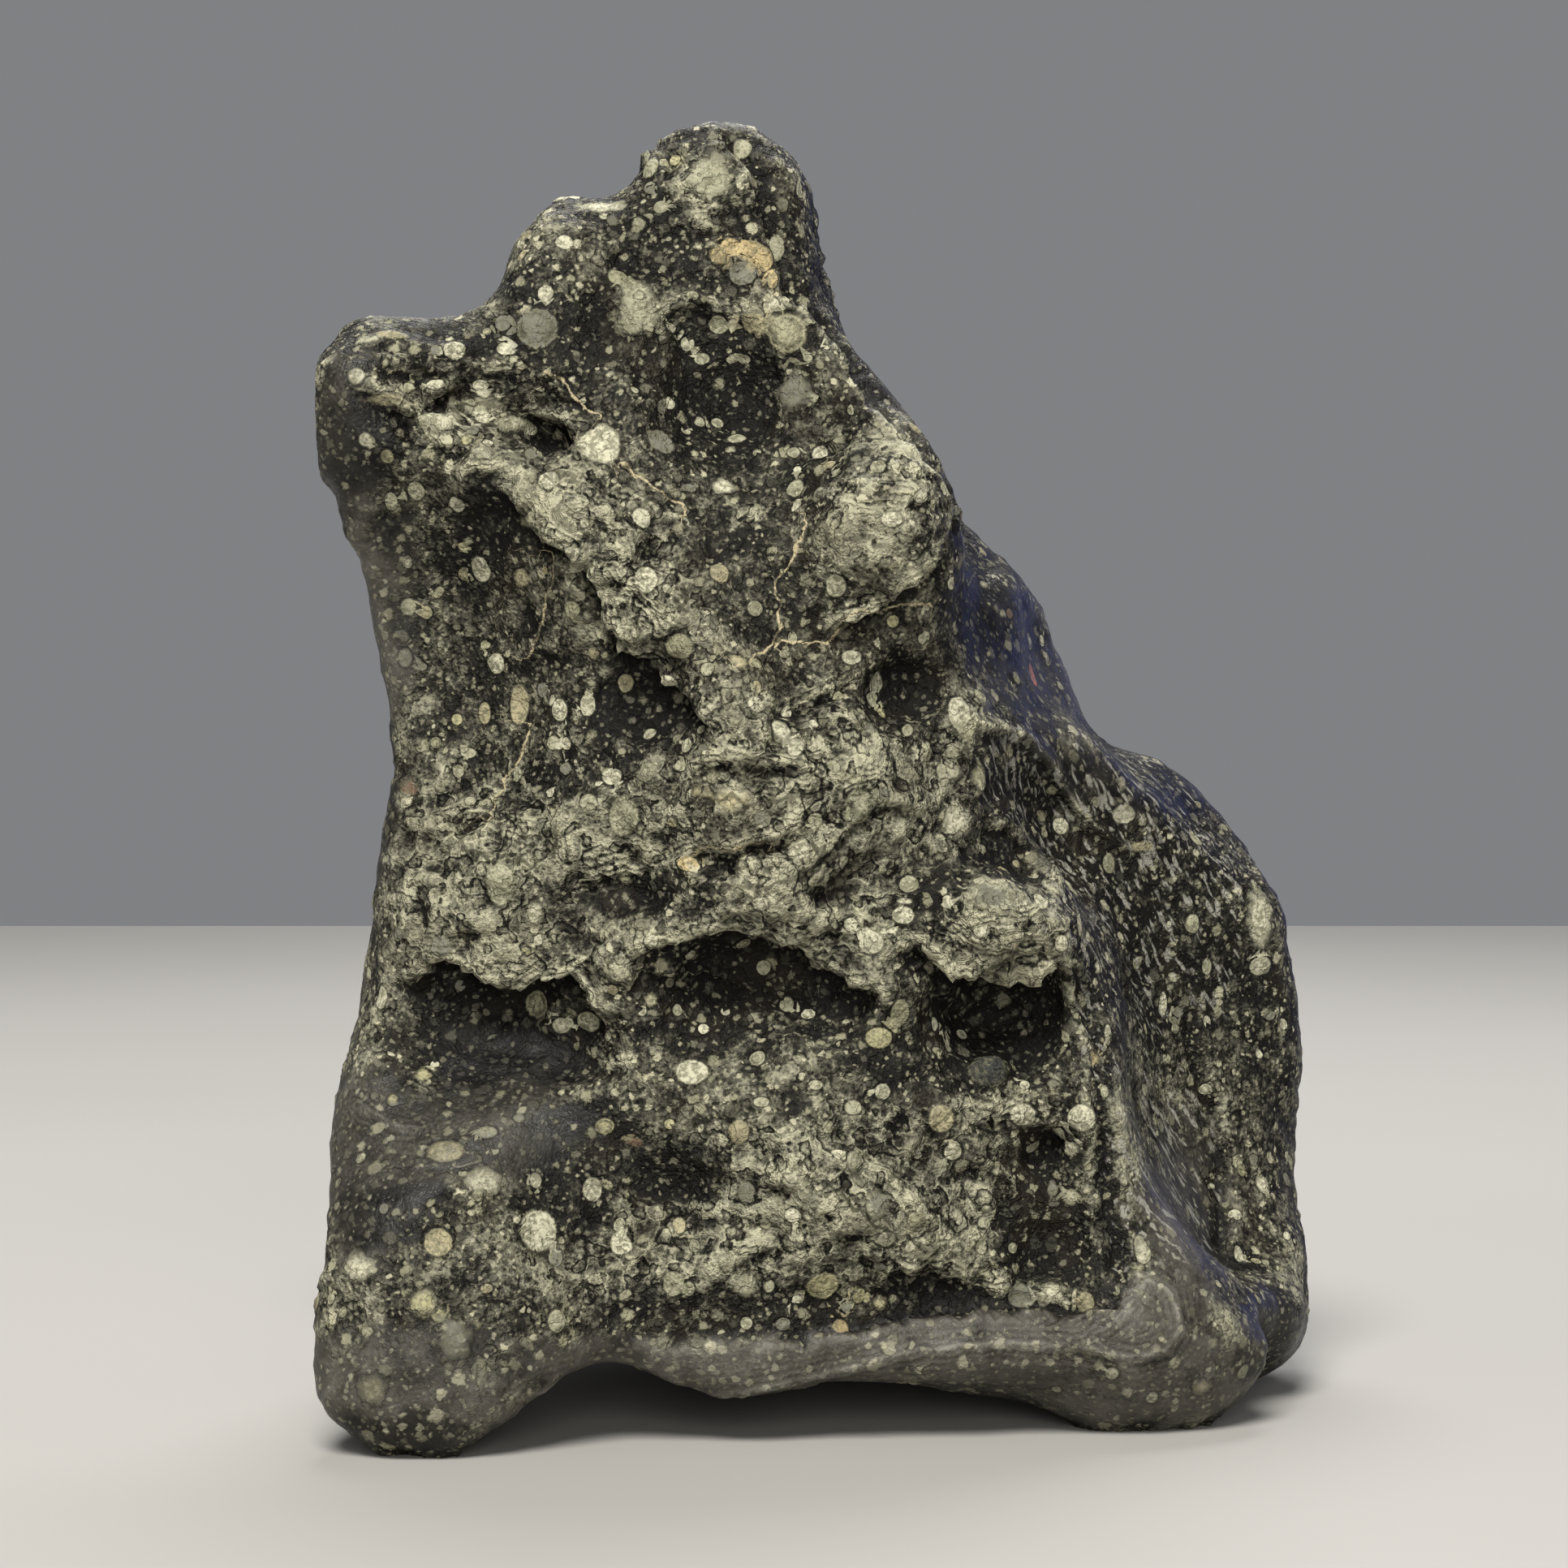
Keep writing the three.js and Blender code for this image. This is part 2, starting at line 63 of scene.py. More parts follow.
VIEW_FRAME = 1932  # steps across the frame
VIEW_REACH = 5200  # focal length, in the same steps
VIEW_TILT = math.radians(2)  # the camera looks down by this much
VIEW_DISTANCE = 300
VIEW_TARGET = Vector((-3.1, 0.6, 43.7))  # the middle of the frame
STEPS_PER_MM = VIEW_REACH / VIEW_DISTANCE

FORWARD = Vector((0, math.cos(VIEW_TILT), -math.sin(VIEW_TILT)))
UPWARD = Vector((0, math.sin(VIEW_TILT), math.cos(VIEW_TILT)))
EYE = VIEW_TARGET - FORWARD * VIEW_DISTANCE


def sight_line(across, down):
    """The way from the eye through a place in the frame."""
    right = (across - VIEW_FRAME / 2) / VIEW_REACH
    up = (VIEW_FRAME / 2 - down) / VIEW_REACH
    return (FORWARD + Vector((right, 0, 0)) + UPWARD * up).normalized()


def seen_places(points):
    """Where the eye sees each of many points, in steps across and down the frame."""
    offset = points - np.array(EYE)
    depth = offset @ np.array(FORWARD)
    across = VIEW_FRAME / 2 + VIEW_REACH * offset[:, 0] / depth
    down = VIEW_FRAME / 2 - VIEW_REACH * (offset @ np.array(UPWARD)) / depth
    return np.stack([across, down], axis=1)


# ---- the outline -------------------------------------------------------------------------------------------
# How far each flank swells beyond the solid: places down the frame, and steps outwards.

LEFT_SWELL = [
    (420, 0), (450, 14), (600, 14), (700, 38), (760, 33), (870, 8), (1050, 9), (1180, 37), (1290, 33),
    (1420, 20), (1530, 0), (1650, 4), (1720, 22),
]
RIGHT_SWELL = [(1440, 0), (1520, 12), (1600, 14), (1660, 22), (1740, 12)]
LEFT_FLANK = (480, 700)  # where across the frame the swelling fades out, going right
RIGHT_FLANK = (1480, 1590)  # where it fades in
ROUNDING_ROUNDS = 3
LET_OUT, LET_OUT_ROUNDS = 0.9, 40  # the share of what rounding draws in that is let out again

# ---- relief of the front -----------------------------------------------------------------------------------
# Ledges: lift above the line and undercut below it, how far each reaches, and the line from left to right.

LEDGES = [
    # the ear and the step below it
    (0.9, 1.0, 2.4, 1.6, [(425, 476), (461, 488), (498, 505), (512, 530), (543, 550), (580, 544)]),
    (0.5, 0.7, 1.6, 1.4, [(440, 452), (500, 455), (568, 452), (625, 462), (672, 470), (700, 500)]),
    (0.5, 0.6, 1.6, 1.4, [(565, 588), (600, 580), (630, 583)]),
    (0.8, 1.4, 1.8, 2.2, [(640, 508), (668, 512), (705, 528), (716, 545)]),
    # the horn
    (0.5, 0.7, 1.8, 1.6, [(798, 300), (832, 280), (880, 284), (905, 300)]),
    (0.7, 1.3, 1.4, 2.6, [(808, 400), (820, 386), (845, 377), (880, 380), (915, 388), (940, 402)]),
    (0.4, 0.6, 1.4, 1.2, [(905, 345), (930, 352), (950, 372)]),
    # the slanting spine and its tail
    (0.9, 1.3, 2.2, 2.6, [(622, 600), (640, 640), (668, 668), (700, 676), (716, 700), (735, 722),
                          (748, 760), (769, 800), (800, 822), (838, 850), (868, 884), (884, 905)]),
    (0.5, 0.5, 1.6, 1.2, [(700, 610), (735, 632), (757, 655), (764, 690)]),
    (0.4, 0.5, 1.4, 1.2, [(745, 700), (790, 735), (830, 770), (858, 800)]),
    # the right lobe
    (1.0, 1.7, 2.0, 2.6, [(1015, 790), (1040, 765), (1075, 752), (1110, 735), (1140, 700), (1165, 668)]),
    (0.4, 0.7, 1.2, 1.2, [(1005, 625), (1035, 612), (1070, 612), (1110, 620), (1140, 636)]),
    (0.4, 0.5, 1.4, 1.2, [(890, 655), (930, 640), (965, 615), (1000, 600)]),
    # the middle of the face
    (0.7, 1.4, 1.4, 1.6, [(855, 938), (900, 934), (960, 944), (1010, 950)]),
    (0.4, 0.6, 1.2, 1.2, [(1036, 985), (1050, 970), (1070, 968), (1086, 985)]),
    (0.8, 1.5, 1.6, 2.0, [(826, 1070), (850, 1052), (900, 1047), (955, 1037), (990, 1020)]),
    (0.6, 1.1, 1.6, 1.8, [(700, 1090), (735, 1080), (765, 1072), (800, 1078)]),
    (0.5, 1.0, 1.4, 1.6, [(940, 870), (985, 866), (1025, 850), (1060, 838)]),
    (0.4, 0.5, 1.2, 1.2, [(560, 1010), (600, 1000), (640, 1012), (680, 1005)]),
    # the roof line of the pockets
    (0.9, 2.4, 2.0, 5.0, [(486, 1212), (524, 1193), (560, 1187), (602, 1215), (640, 1220), (678, 1204),
                          (706, 1200), (728, 1238), (750, 1278)]),
    (0.7, 1.5, 2.0, 5.5, [(762, 1196), (812, 1166), (860, 1160), (905, 1146), (941, 1156), (982, 1167),
                          (1019, 1197), (1052, 1220), (1090, 1222)]),
    (0.5, 0.7, 1.4, 1.8, [(752, 1226), (790, 1204), (840, 1214), (880, 1206), (930, 1222), (975, 1212)]),
    (0.4, 0.6, 1.2, 1.4, [(640, 1268), (690, 1282), (742, 1312), (790, 1308)]),
    (0.4, 0.6, 1.2, 1.4, [(905, 1258), (950, 1246), (1000, 1262), (1050, 1258)]),
    (0.4, 0.6, 1.2, 1.4, [(1150, 1236), (1200, 1250), (1262, 1240)]),
    (1.1, 2.6, 2.2, 5.0, [(1119, 1150), (1141, 1178), (1175, 1201), (1230, 1209), (1278, 1205),
                          (1306, 1190), (1322, 1196)]),
    (0.5, 0.6, 1.0, 0.9, [(1140, 1130), (1180, 1160), (1230, 1168), (1290, 1155)]),
    (0.4, 0.5, 1.0, 0.9, [(1160, 1098), (1200, 1128), (1250, 1136), (1290, 1124)]),
    (0.5, 0.8, 1.4, 1.6, [(1213, 1020), (1245, 1020), (1268, 1038), (1286, 1072), (1300, 1112)]),
    # the lower slope
    (0.5, 0.8, 1.4, 1.4, [(1186, 1356), (1215, 1379), (1267, 1387), (1341, 1384)]),
    (0.4, 0.6, 1.6, 1.4, [(1080, 1572), (1119, 1566), (1156, 1562), (1186, 1578), (1220, 1587),
                          (1350, 1606)]),
    (0.35, 0.5, 1.4, 1.4, [(900, 1240), (960, 1262), (1020, 1258)]),
]

# Folds are ledges whose edge isn't worn, and gets no painted sheen or highlight.
FOLDS = [
    # the arris of the upper block, and the corner below it, which fall away to the right
    (0.5, 1.6, 1.6, 2.8, [(1143, 690), (1162, 653), (1173, 627), (1158, 597), (1136, 568), (1095, 520),
                          (1058, 479), (1032, 427), (995, 386), (966, 360), (958, 327), (940, 270),
                          (921, 205), (877, 172)]),
    (0.7, 1.1, 2.4, 2.8, [(1392, 1596), (1368, 1560), (1354, 1500), (1350, 1400), (1342, 1290),
                          (1322, 1200), (1304, 1130)]),
    # the channel's far edge, which rises to the right
    (0.6, 1.0, 2.0, 2.2, [(1470, 1230), (1478, 1290), (1492, 1340), (1506, 1400), (1513, 1480),
                          (1513, 1560)]),
    # the base band, which stands proud of the slope above it
    (0.5, 0.9, 2.8, 1.8, [(1394, 1588), (1372, 1612), (1330, 1620), (1250, 1612), (1150, 1622),
                          (1050, 1642), (950, 1652), (850, 1654), (760, 1650)]),
]

# Ridges: height, half width, and the line.
RIDGES = [
    (0.7, 0.9, [(1067, 1430), (1101, 1460), (1134, 1489), (1160, 1520)]),
    (0.5, 0.7, [(1223, 1428), (1240, 1448), (1254, 1470)]),
    (0.3, 0.6, [(436, 1352), (454, 1371), (480, 1384), (520, 1392)]),
    (0.8, 1.0, [(1193, 890), (1230, 897), (1260, 908), (1290, 934), (1312, 972), (1340, 1012),
                (1395, 1050)]),
    (0.5, 1.0, [(1395, 1240), (1412, 1222), (1440, 1204)]),
    (0.4, 0.6, [(640, 1722), (700, 1702), (760, 1716), (830, 1722), (900, 1716), (1000, 1698),
                (1109, 1668), (1220, 1656), (1333, 1659), (1397, 1673), (1436, 1664), (1452, 1636),
                (1446, 1600), (1430, 1584), (1402, 1570)]),
    (0.3, 0.5, [(1333, 1659), (1362, 1640), (1384, 1622), (1400, 1600)]),
    (0.5, 1.0, [(430, 428), (480, 418), (530, 432), (590, 430)]),
    (0.4, 0.8, [(700, 505), (712, 560), (760, 600), (805, 632), (850, 640)]),
]

# Pits, and knobs where the depth is negative: place, half width and half height in steps, and depth.
HOLLOWS = [
    (676, 536, 34, 22, 1.4), (600, 640, 46, 60, 0.6), (870, 480, 100, 100, 1.5), (850, 425, 40, 30, 0.8),
    (930, 500, 40, 50, 0.5), (800, 880, 50, 44, 0.9), (720, 950, 50, 40, 0.6), (1115, 850, 60, 46, 1.6),
    (905, 960, 44, 14, 0.5), (800, 1105, 40, 18, 0.6), (1260, 1062, 42, 34, 0.9),
    (1010, 1100, 40, 24, 0.5), (600, 1262, 120, 50, 0.8), (720, 1300, 70, 40, 0.8),
    (870, 1215, 110, 46, 0.7), (1010, 1250, 110, 40, 0.8), (1240, 1260, 110, 56, 1.2),
    (1130, 1270, 40, 40, 0.6), (1286, 1424, 30, 34, 1.4), (1290, 1540, 60, 46, 0.8),
    (820, 1460, 60, 36, 0.5), (1160, 1590, 34, 14, 0.7), (880, 1620, 120, 24, 0.4),
    (560, 1440, 40, 30, 0.2), (1040, 525, 24, 30, 0.4), (560, 560, 34, 16, 0.4), (480, 640, 30, 60, 0.3),
    (780, 330, 30, 20, 0.4), (930, 415, 22, 14, 0.5), (1150, 940, 30, 40, 0.5), (655, 760, 30, 30, 0.4),
    (690, 820, 40, 30, 0.5), (500, 1215, 26, 26, 0.5), (1030, 1170, 24, 24, 0.4),
    (1000, 1600, 50, 20, 0.4), (915, 340, 26, 24, 0.9), (1219, 1322, 34, 28, -1.5),
    (1226, 1102, 46, 40, -0.7), (780, 381, 44, 50, -0.4), (872, 226, 46, 54, -0.5),
    (1080, 640, 110, 110, -1.4), (960, 1330, 90, 40, -0.2), (541, 517, 34, 22, -0.4),
    (620, 1180, 60, 30, -0.4), (1050, 1500, 90, 60, -0.4), (920, 830, 44, 40, -0.3),
    (690, 640, 40, 34, -0.4), (800, 770, 40, 40, -0.4), (1300, 1150, 30, 30, -0.3),
    (1420, 1000, 50, 60, -0.4), (1240, 740, 34, 50, -0.5), (1550, 1640, 60, 50, -0.4),
    (480, 1700, 60, 60, -0.3), (660, 402, 36, 32, -0.3),
]

# Places that share a finish, as ellipses: place, half width and half height in steps.

# polished smooth by the wind
SMOOTH_PLACES = [
    (432, 560, 44, 130), (470, 760, 44, 130), (455, 980, 30, 120), (450, 1440, 80, 120),
    (500, 1710, 130, 80), (620, 1320, 80, 60), (600, 1400, 120, 60), (880, 1690, 300, 36),
    (1250, 1650, 230, 40), (1320, 1710, 260, 50), (740, 1690, 130, 46), (1060, 1668, 200, 32),
    (1420, 1660, 90, 70), (1460, 1520, 50, 140), (1240, 740, 60, 120), (1300, 860, 50, 80),
    (1420, 960, 110, 50), (1560, 1655, 50, 60), (1180, 430, 60, 150), (1100, 400, 40, 120),
]
# darkened places: painted shade in the hollows, under the overhangs and on the faces turned from the light
SHADED_PLACES = [
    (880, 480, 110, 100), (600, 650, 50, 60), (790, 880, 80, 60), (720, 950, 60, 50), (1115, 850, 66, 56),
    (1260, 1062, 50, 40), (610, 1275, 120, 60), (900, 1225, 150, 70), (1250, 1265, 110, 60),
    (1130, 1290, 90, 60), (1286, 1430, 50, 50), (1300, 1530, 70, 70), (840, 1440, 60, 40),
    (740, 1380, 70, 30), (1370, 1150, 70, 160), (1260, 960, 60, 90), (820, 1110, 60, 30),
    (980, 200, 44, 110), (900, 1610, 150, 26), (1160, 1595, 60, 20), (455, 530, 40, 60),
    (1060, 480, 40, 60), (1010, 260, 40, 120), (1220, 700, 60, 120), (1460, 1020, 130, 150),
    (1540, 1180, 70, 120), (1440, 1200, 90, 90), (810, 290, 36, 90), (850, 150, 90, 40),
    (700, 420, 90, 90), (410, 560, 30, 120), (1180, 560, 50, 120), (700, 1480, 60, 60),
    (520, 434, 120, 36), (430, 500, 50, 70), (1030, 596, 70, 36), (1136, 660, 50, 40), (860, 165, 80, 30),
    (790, 450, 60, 50), (1000, 420, 40, 60), (900, 190, 60, 60), (830, 330, 60, 50), (950, 280, 30, 60),
    (680, 360, 50, 50), (1160, 1110, 30, 40), (1250, 1080, 50, 16), (1430, 940, 120, 60),
    (500, 1775, 120, 30), (930, 1240, 120, 40), (430, 430, 70, 40), (940, 230, 60, 100),
    (440, 1000, 50, 130), (700, 240, 50, 30), (1340, 1350, 34, 150), (1346, 1520, 40, 80),
    (1560, 1640, 44, 60), (490, 1500, 70, 40), (1540, 1130, 40, 70), (1570, 1300, 30, 60),
]
# where the granules are drawn out along the flank
STREAKED_PLACES = [
    (1380, 1080, 90, 170), (1320, 1000, 60, 80), (1250, 950, 50, 60), (1390, 1270, 60, 110),
    (1480, 1120, 60, 120), (1430, 1440, 70, 130),
]
# a little paler than the rest: painted light on the base band, which the floor lights from below, and on the
# right flank
PAINTED_LIGHT_PLACES = [
    (1250, 1700, 320, 70), (880, 1700, 220, 34), (1430, 1460, 80, 180), (1400, 1300, 60, 90),
    (1480, 1250, 60, 60),
]
# worn, with a crinkled skin painted bright: partly real wear, partly painted sheen
WEAR_AND_SHEEN_PLACES = [
    (690, 620, 80, 60), (790, 740, 90, 80), (560, 505, 80, 46), (650, 480, 50, 30), (1080, 600, 96, 90),
    (1030, 960, 190, 130), (960, 1080, 110, 50), (600, 1160, 140, 60), (1000, 1120, 130, 70),
    (1220, 1150, 110, 50), (1090, 1490, 170, 120), (860, 220, 46, 56), (740, 1000, 130, 110),
    (560, 1060, 110, 120), (780, 380, 70, 80), (1240, 1370, 90, 24), (760, 1530, 120, 80),
    (1010, 970, 150, 110), (950, 1450, 150, 70), (1120, 1560, 120, 50), (900, 1560, 140, 60),
    (550, 510, 90, 34), (690, 1240, 60, 40),
]

# Thin seams filled with tan clay.
SEAMS = [
    [(1001, 641), (982, 667), (975, 697), (954, 723), (960, 752), (958, 789), (919, 815), (906, 822)],
    [(958, 789), (990, 792), (1019, 793), (1038, 767), (1060, 749), (1082, 756), (1115, 745), (1150, 742)],
    [(672, 457), (698, 472), (713, 498), (740, 512)],
    [(766, 571), (790, 590), (810, 601), (847, 634)],
    [(680, 682), (676, 734), (661, 782), (652, 815)],
    [(652, 893), (639, 934), (620, 963), (598, 1015)],
    [(836, 1064), (861, 1048), (905, 1045), (950, 1037)],
]

LINE_REACH = 3.0  # farther than this from a ledge, a ridge or a seam, the finish doesn't follow it
LINE_TIP = 0.02  # closer than this to its tip, a line has no sides
PAST_THE_TIP = 0.3  # added to the distance past the ends of such a line, so that the finish stops there
LEAST_FACING = 0.2  # where the stone faces the eye less than this, the finish follows no line
WAVER = 9  # how far the drawn lines and places waver, in steps
FINE_WAVER = 4
SEAM_WAVER = 8

# ---- chondrules of the front -------------------------------------------------------------------------------
# Place, width and height in steps, tone, and how it looks: it is even unless it is ringed or ragged.

RINGED, RAGGED = "ringed", "ragged"
CHONDRULES = [
    # the ear and the horn
    (738, 548, 52, 62, "cream"), (970, 410, 50, 50, "olive", RINGED),
    (884, 314, 22, 24, "orange", RAGGED), (902, 303, 30, 20, "orange"), (924, 306, 32, 20, "orange"),
    (941, 320, 24, 32, "orange"), (952, 344, 14, 26, "orange"), (915, 338, 36, 32, "grey", RINGED),
    (876, 218, 58, 76, "pale", RAGGED), (784, 381, 54, 76, "pale", RAGGED),
    (738, 254, 64, 20, "cream", RAGGED), (541, 517, 52, 36, "cream", RAGGED), (815, 545, 38, 34, "grey"),
    (662, 404, 54, 50, "grey", RINGED), (979, 485, 50, 52, "grey", RAGGED), (560, 430, 28, 28, "cream"),
    (622, 431, 20, 20, "cream"), (439, 463, 22, 22, "cream"), (956, 306, 22, 34, "pale"),
    (801, 206, 24, 36, "pale"), (915, 183, 24, 30, "pale"), (847, 424, 18, 18, "cream"),
    (927, 398, 34, 26, "tan"), (886, 400, 26, 24, "pale"), (853, 365, 16, 14, "pale"),
    (828, 404, 14, 14, "pale"), (865, 443, 20, 16, "pale"), (953, 375, 16, 16, "cream"),
    (815, 256, 20, 20, "pale"), (672, 361, 20, 22, "cream"), (695, 299, 22, 20, "cream"),
    (762, 340, 26, 24, "olive"), (620, 398, 22, 22, "grey"), (480, 412, 50, 12, "tan", RAGGED),
    (900, 440, 12, 18, "pale"), (917, 443, 16, 12, "pale"), (862, 520, 16, 14, "pale"),
    (884, 522, 16, 16, "pale"), (845, 531, 14, 12, "pale"), (908, 540, 24, 16, "pale"),
    (978, 558, 16, 16, "pale"), (1010, 559, 20, 22, "cream"), (1005, 491, 12, 12, "pale"),
    (1050, 505, 14, 14, "pale"), (892, 600, 34, 22, "cream", RAGGED), (470, 492, 60, 18, "tan", RAGGED),
    (592, 500, 60, 24, "pale", RAGGED), (630, 522, 50, 22, "pale", RAGGED), (979, 600, 22, 26, "pale"),
    (592, 475, 20, 14, "cream"), (505, 478, 16, 18, "pale"), (537, 474, 24, 14, "cream"),
    (594, 512, 22, 20, "cream"), (655, 530, 20, 14, "pale"),
    # the left side of the face
    (676, 593, 26, 26, "cream"), (790, 639, 25, 26, "cream"), (796, 713, 28, 36, "cream"),
    (886, 707, 24, 28, "tan"), (592, 702, 28, 34, "cream"), (643, 713, 26, 26, "tan", RAGGED),
    (705, 683, 20, 22, "cream"), (704, 752, 24, 22, "olive"), (563, 622, 20, 24, "cream"),
    (513, 604, 22, 26, "pale"), (482, 617, 16, 26, "pale"), (612, 818, 24, 26, "cream"),
    (640, 869, 26, 50, "tan"), (690, 875, 24, 28, "cream"), (724, 869, 20, 28, "cream"),
    (668, 850, 16, 20, "grey"), (771, 842, 20, 24, "tan"), (597, 879, 16, 28, "tan"),
    (503, 748, 20, 22, "pale"), (499, 811, 18, 24, "grey"), (698, 916, 14, 16, "cream"),
    (820, 842, 28, 20, "cream"), (836, 797, 38, 32, "olive"), (755, 957, 26, 22, "cream"),
    (795, 951, 26, 24, "pale"), (768, 1007, 38, 48, "pale"), (725, 990, 22, 24, "pale"),
    (697, 947, 16, 16, "grey"), (637, 954, 14, 20, "pale"), (564, 951, 16, 18, "pale"),
    (615, 1090, 38, 52, "pale"), (658, 1129, 24, 34, "cream", RAGGED), (649, 1063, 18, 18, "pale"),
    (515, 1083, 16, 20, "pale"), (846, 919, 14, 20, "cream"), (864, 899, 12, 14, "pale"),
    (544, 1166, 28, 26, "grey"), (470, 1230, 16, 30, "cream"), (505, 970, 26, 30, "rust", RAGGED),
    (543, 970, 14, 14, "pale"), (672, 703, 10, 10, "orange"),
    # the middle of the face
    (1099, 640, 26, 20, "cream"), (1124, 644, 12, 12, "cream"), (1030, 722, 26, 30, "pale"),
    (930, 750, 20, 20, "pale"), (909, 812, 22, 24, "tan", RAGGED), (933, 817, 18, 14, "olive"),
    (1050, 810, 26, 18, "cream"), (1080, 841, 32, 28, "cream", RINGED), (1072, 864, 22, 18, "pale"),
    (932, 868, 24, 20, "cream"), (969, 877, 16, 16, "cream"), (962, 900, 24, 30, "cream"),
    (980, 921, 22, 22, "cream"), (902, 986, 48, 34, "tan", RAGGED), (1060, 995, 38, 44, "pale", RINGED),
    (1118, 900, 14, 22, "pale"), (1182, 876, 28, 50, "cream"), (1182, 1014, 54, 40, "cream", RAGGED),
    (1160, 950, 12, 20, "pale"), (1026, 945, 18, 16, "pale"), (985, 1050, 28, 30, "cream", RAGGED),
    (846, 1064, 28, 18, "orange"), (1226, 1102, 66, 46, "grey", RAGGED), (1240, 1142, 22, 20, "cream"),
    (1210, 1148, 20, 14, "cream"), (1113, 1128, 28, 22, "cream"), (1120, 1090, 24, 22, "pale"),
    (1282, 1112, 20, 28, "cream"), (1168, 1112, 18, 18, "cream"), (1073, 1162, 32, 28, "cream"),
    (802, 1158, 18, 22, "cream"), (858, 1070, 12, 12, "cream"), (1005, 1010, 18, 16, "pale"),
    (940, 1010, 20, 18, "grey"), (1105, 985, 20, 16, "pale"), (1146, 700, 18, 18, "pale"),
    (1082, 575, 20, 18, "pale"), (1136, 612, 22, 16, "cream"),
    # the pockets
    (662, 1237, 36, 34, "olive", RINGED), (692, 1264, 24, 20, "cream"), (725, 1259, 34, 26, "pale"),
    (748, 1276, 14, 14, "pale"), (608, 1281, 16, 16, "grey"), (521, 1325, 24, 20, "yellow", RAGGED),
    (536, 1312, 12, 12, "cream"), (853, 1321, 40, 32, "cream"), (933, 1304, 20, 24, "pale", RINGED),
    (835, 1245, 12, 16, "pale"), (791, 1247, 10, 10, "cream"), (867, 1268, 14, 14, "cream"),
    (851, 1177, 14, 14, "pale"), (894, 1246, 12, 12, "cream"), (1083, 1279, 34, 26, "yellow"),
    (1109, 1249, 24, 36, "olive"), (1151, 1262, 12, 18, "cream"), (1166, 1275, 14, 14, "cream"),
    (1346, 1305, 20, 22, "orange", RAGGED), (745, 1388, 24, 20, "yellow", RINGED),
    (783, 1408, 26, 14, "rust", RAGGED), (910, 1395, 26, 30, "tan"), (1051, 1365, 22, 18, "pale"),
    (938, 1358, 20, 12, "pale"), (1005, 1337, 18, 12, "pale"), (1087, 1345, 20, 20, "cream"),
    (1159, 1378, 34, 34, "tan"), (1174, 1420, 22, 20, "cream"), (1262, 1374, 34, 28, "cream"),
    (1332, 1378, 36, 34, "cream"), (1319, 1415, 26, 18, "cream", RAGGED), (1219, 1318, 54, 42, "slate"),
    (1320, 1474, 22, 24, "pale", RAGGED), (758, 1346, 12, 12, "pale"),
    # the lower slope
    (549, 1419, 48, 28, "tan"), (596, 1456, 54, 34, "cream", RAGGED), (540, 1531, 34, 34, "tan"),
    (664, 1516, 46, 52, "cream"), (730, 1466, 24, 30, "cream"), (766, 1532, 28, 30, "cream"),
    (763, 1508, 16, 16, "pale"), (837, 1508, 16, 24, "tan"), (442, 1561, 44, 34, "cream", RAGGED),
    (524, 1606, 36, 32, "yellow", RAGGED), (458, 1712, 36, 32, "olive", RAGGED),
    (830, 1582, 26, 30, "pale"), (849, 1588, 14, 20, "pale"), (980, 1460, 34, 34, "cream", RAGGED),
    (977, 1498, 20, 18, "cream"), (1013, 1584, 40, 38, "yellow", RINGED),
    (919, 1585, 34, 30, "pale", RAGGED), (1091, 1525, 24, 24, "cream"), (920, 1470, 22, 26, "grey"),
    (1080, 1484, 34, 30, "grey", RAGGED), (1294, 1595, 40, 34, "cream", RAGGED),
    (1256, 1597, 28, 34, "grey"), (1337, 1605, 24, 26, "tan"), (1035, 1638, 22, 24, "orange"),
    (1213, 1507, 16, 16, "pale"), (1248, 1538, 14, 14, "pale"), (1209, 1535, 16, 20, "pale"),
    (978, 1528, 16, 16, "pale"), (981, 1600, 14, 14, "cream"), (600, 1395, 26, 16, "pale"),
    (594, 1700, 14, 40, "grey", RAGGED), (560, 1650, 40, 50, "grey", RAGGED),
    (686, 1628, 22, 28, "pale", RINGED), (1409, 1545, 20, 26, "cream"), (1404, 1532, 14, 22, "pale"),
    # the right side
    (1272, 833, 16, 40, "red"), (1244, 756, 14, 14, "rust"), (1385, 1003, 34, 26, "cream"),
    (1349, 990, 16, 20, "pale"), (1403, 1044, 50, 16, "tan", RAGGED), (1473, 1033, 20, 36, "olive"),
    (1552, 1135, 44, 80, "cream", RAGGED), (1552, 1190, 34, 26, "cream"), (1330, 1140, 14, 30, "cream"),
    (1318, 1094, 26, 40, "pale"), (1306, 1018, 26, 22, "cream"), (1366, 1064, 20, 28, "pale"),
    (1433, 1237, 12, 32, "cream"), (1469, 1138, 22, 26, "pale"), (1365, 1275, 10, 26, "cream"),
    (1487, 1191, 14, 22, "pale"), (1526, 1546, 14, 26, "cream"), (1480, 1708, 26, 24, "tan", RAGGED),
    (1556, 1460, 22, 26, "cream", RAGGED), (1308, 1163, 16, 22, "cream"),
    (1196, 905, 24, 30, "olive", RAGGED), (1205, 960, 26, 40, "olive", RAGGED),
]

# What each tone is in the stone, as sRGB hex values.
TONES = {
    "cream": "#a8a58f",  # enstatite and olivine chondrules
    "pale": "#8a8873",
    "grey": "#656459",
    "olive": "#86836b",
    "tan": "#8f876c",  # stained by clay
    "yellow": "#95906f",
    "orange": "#a3926c",  # stained by rust
    "rust": "#5f4a3c",
    "red": "#a0624c",
    "slate": "#292a28",  # a fragment of finer, greyer stone
}

# ---- chondrules everywhere else ----------------------------------------------------------------------------

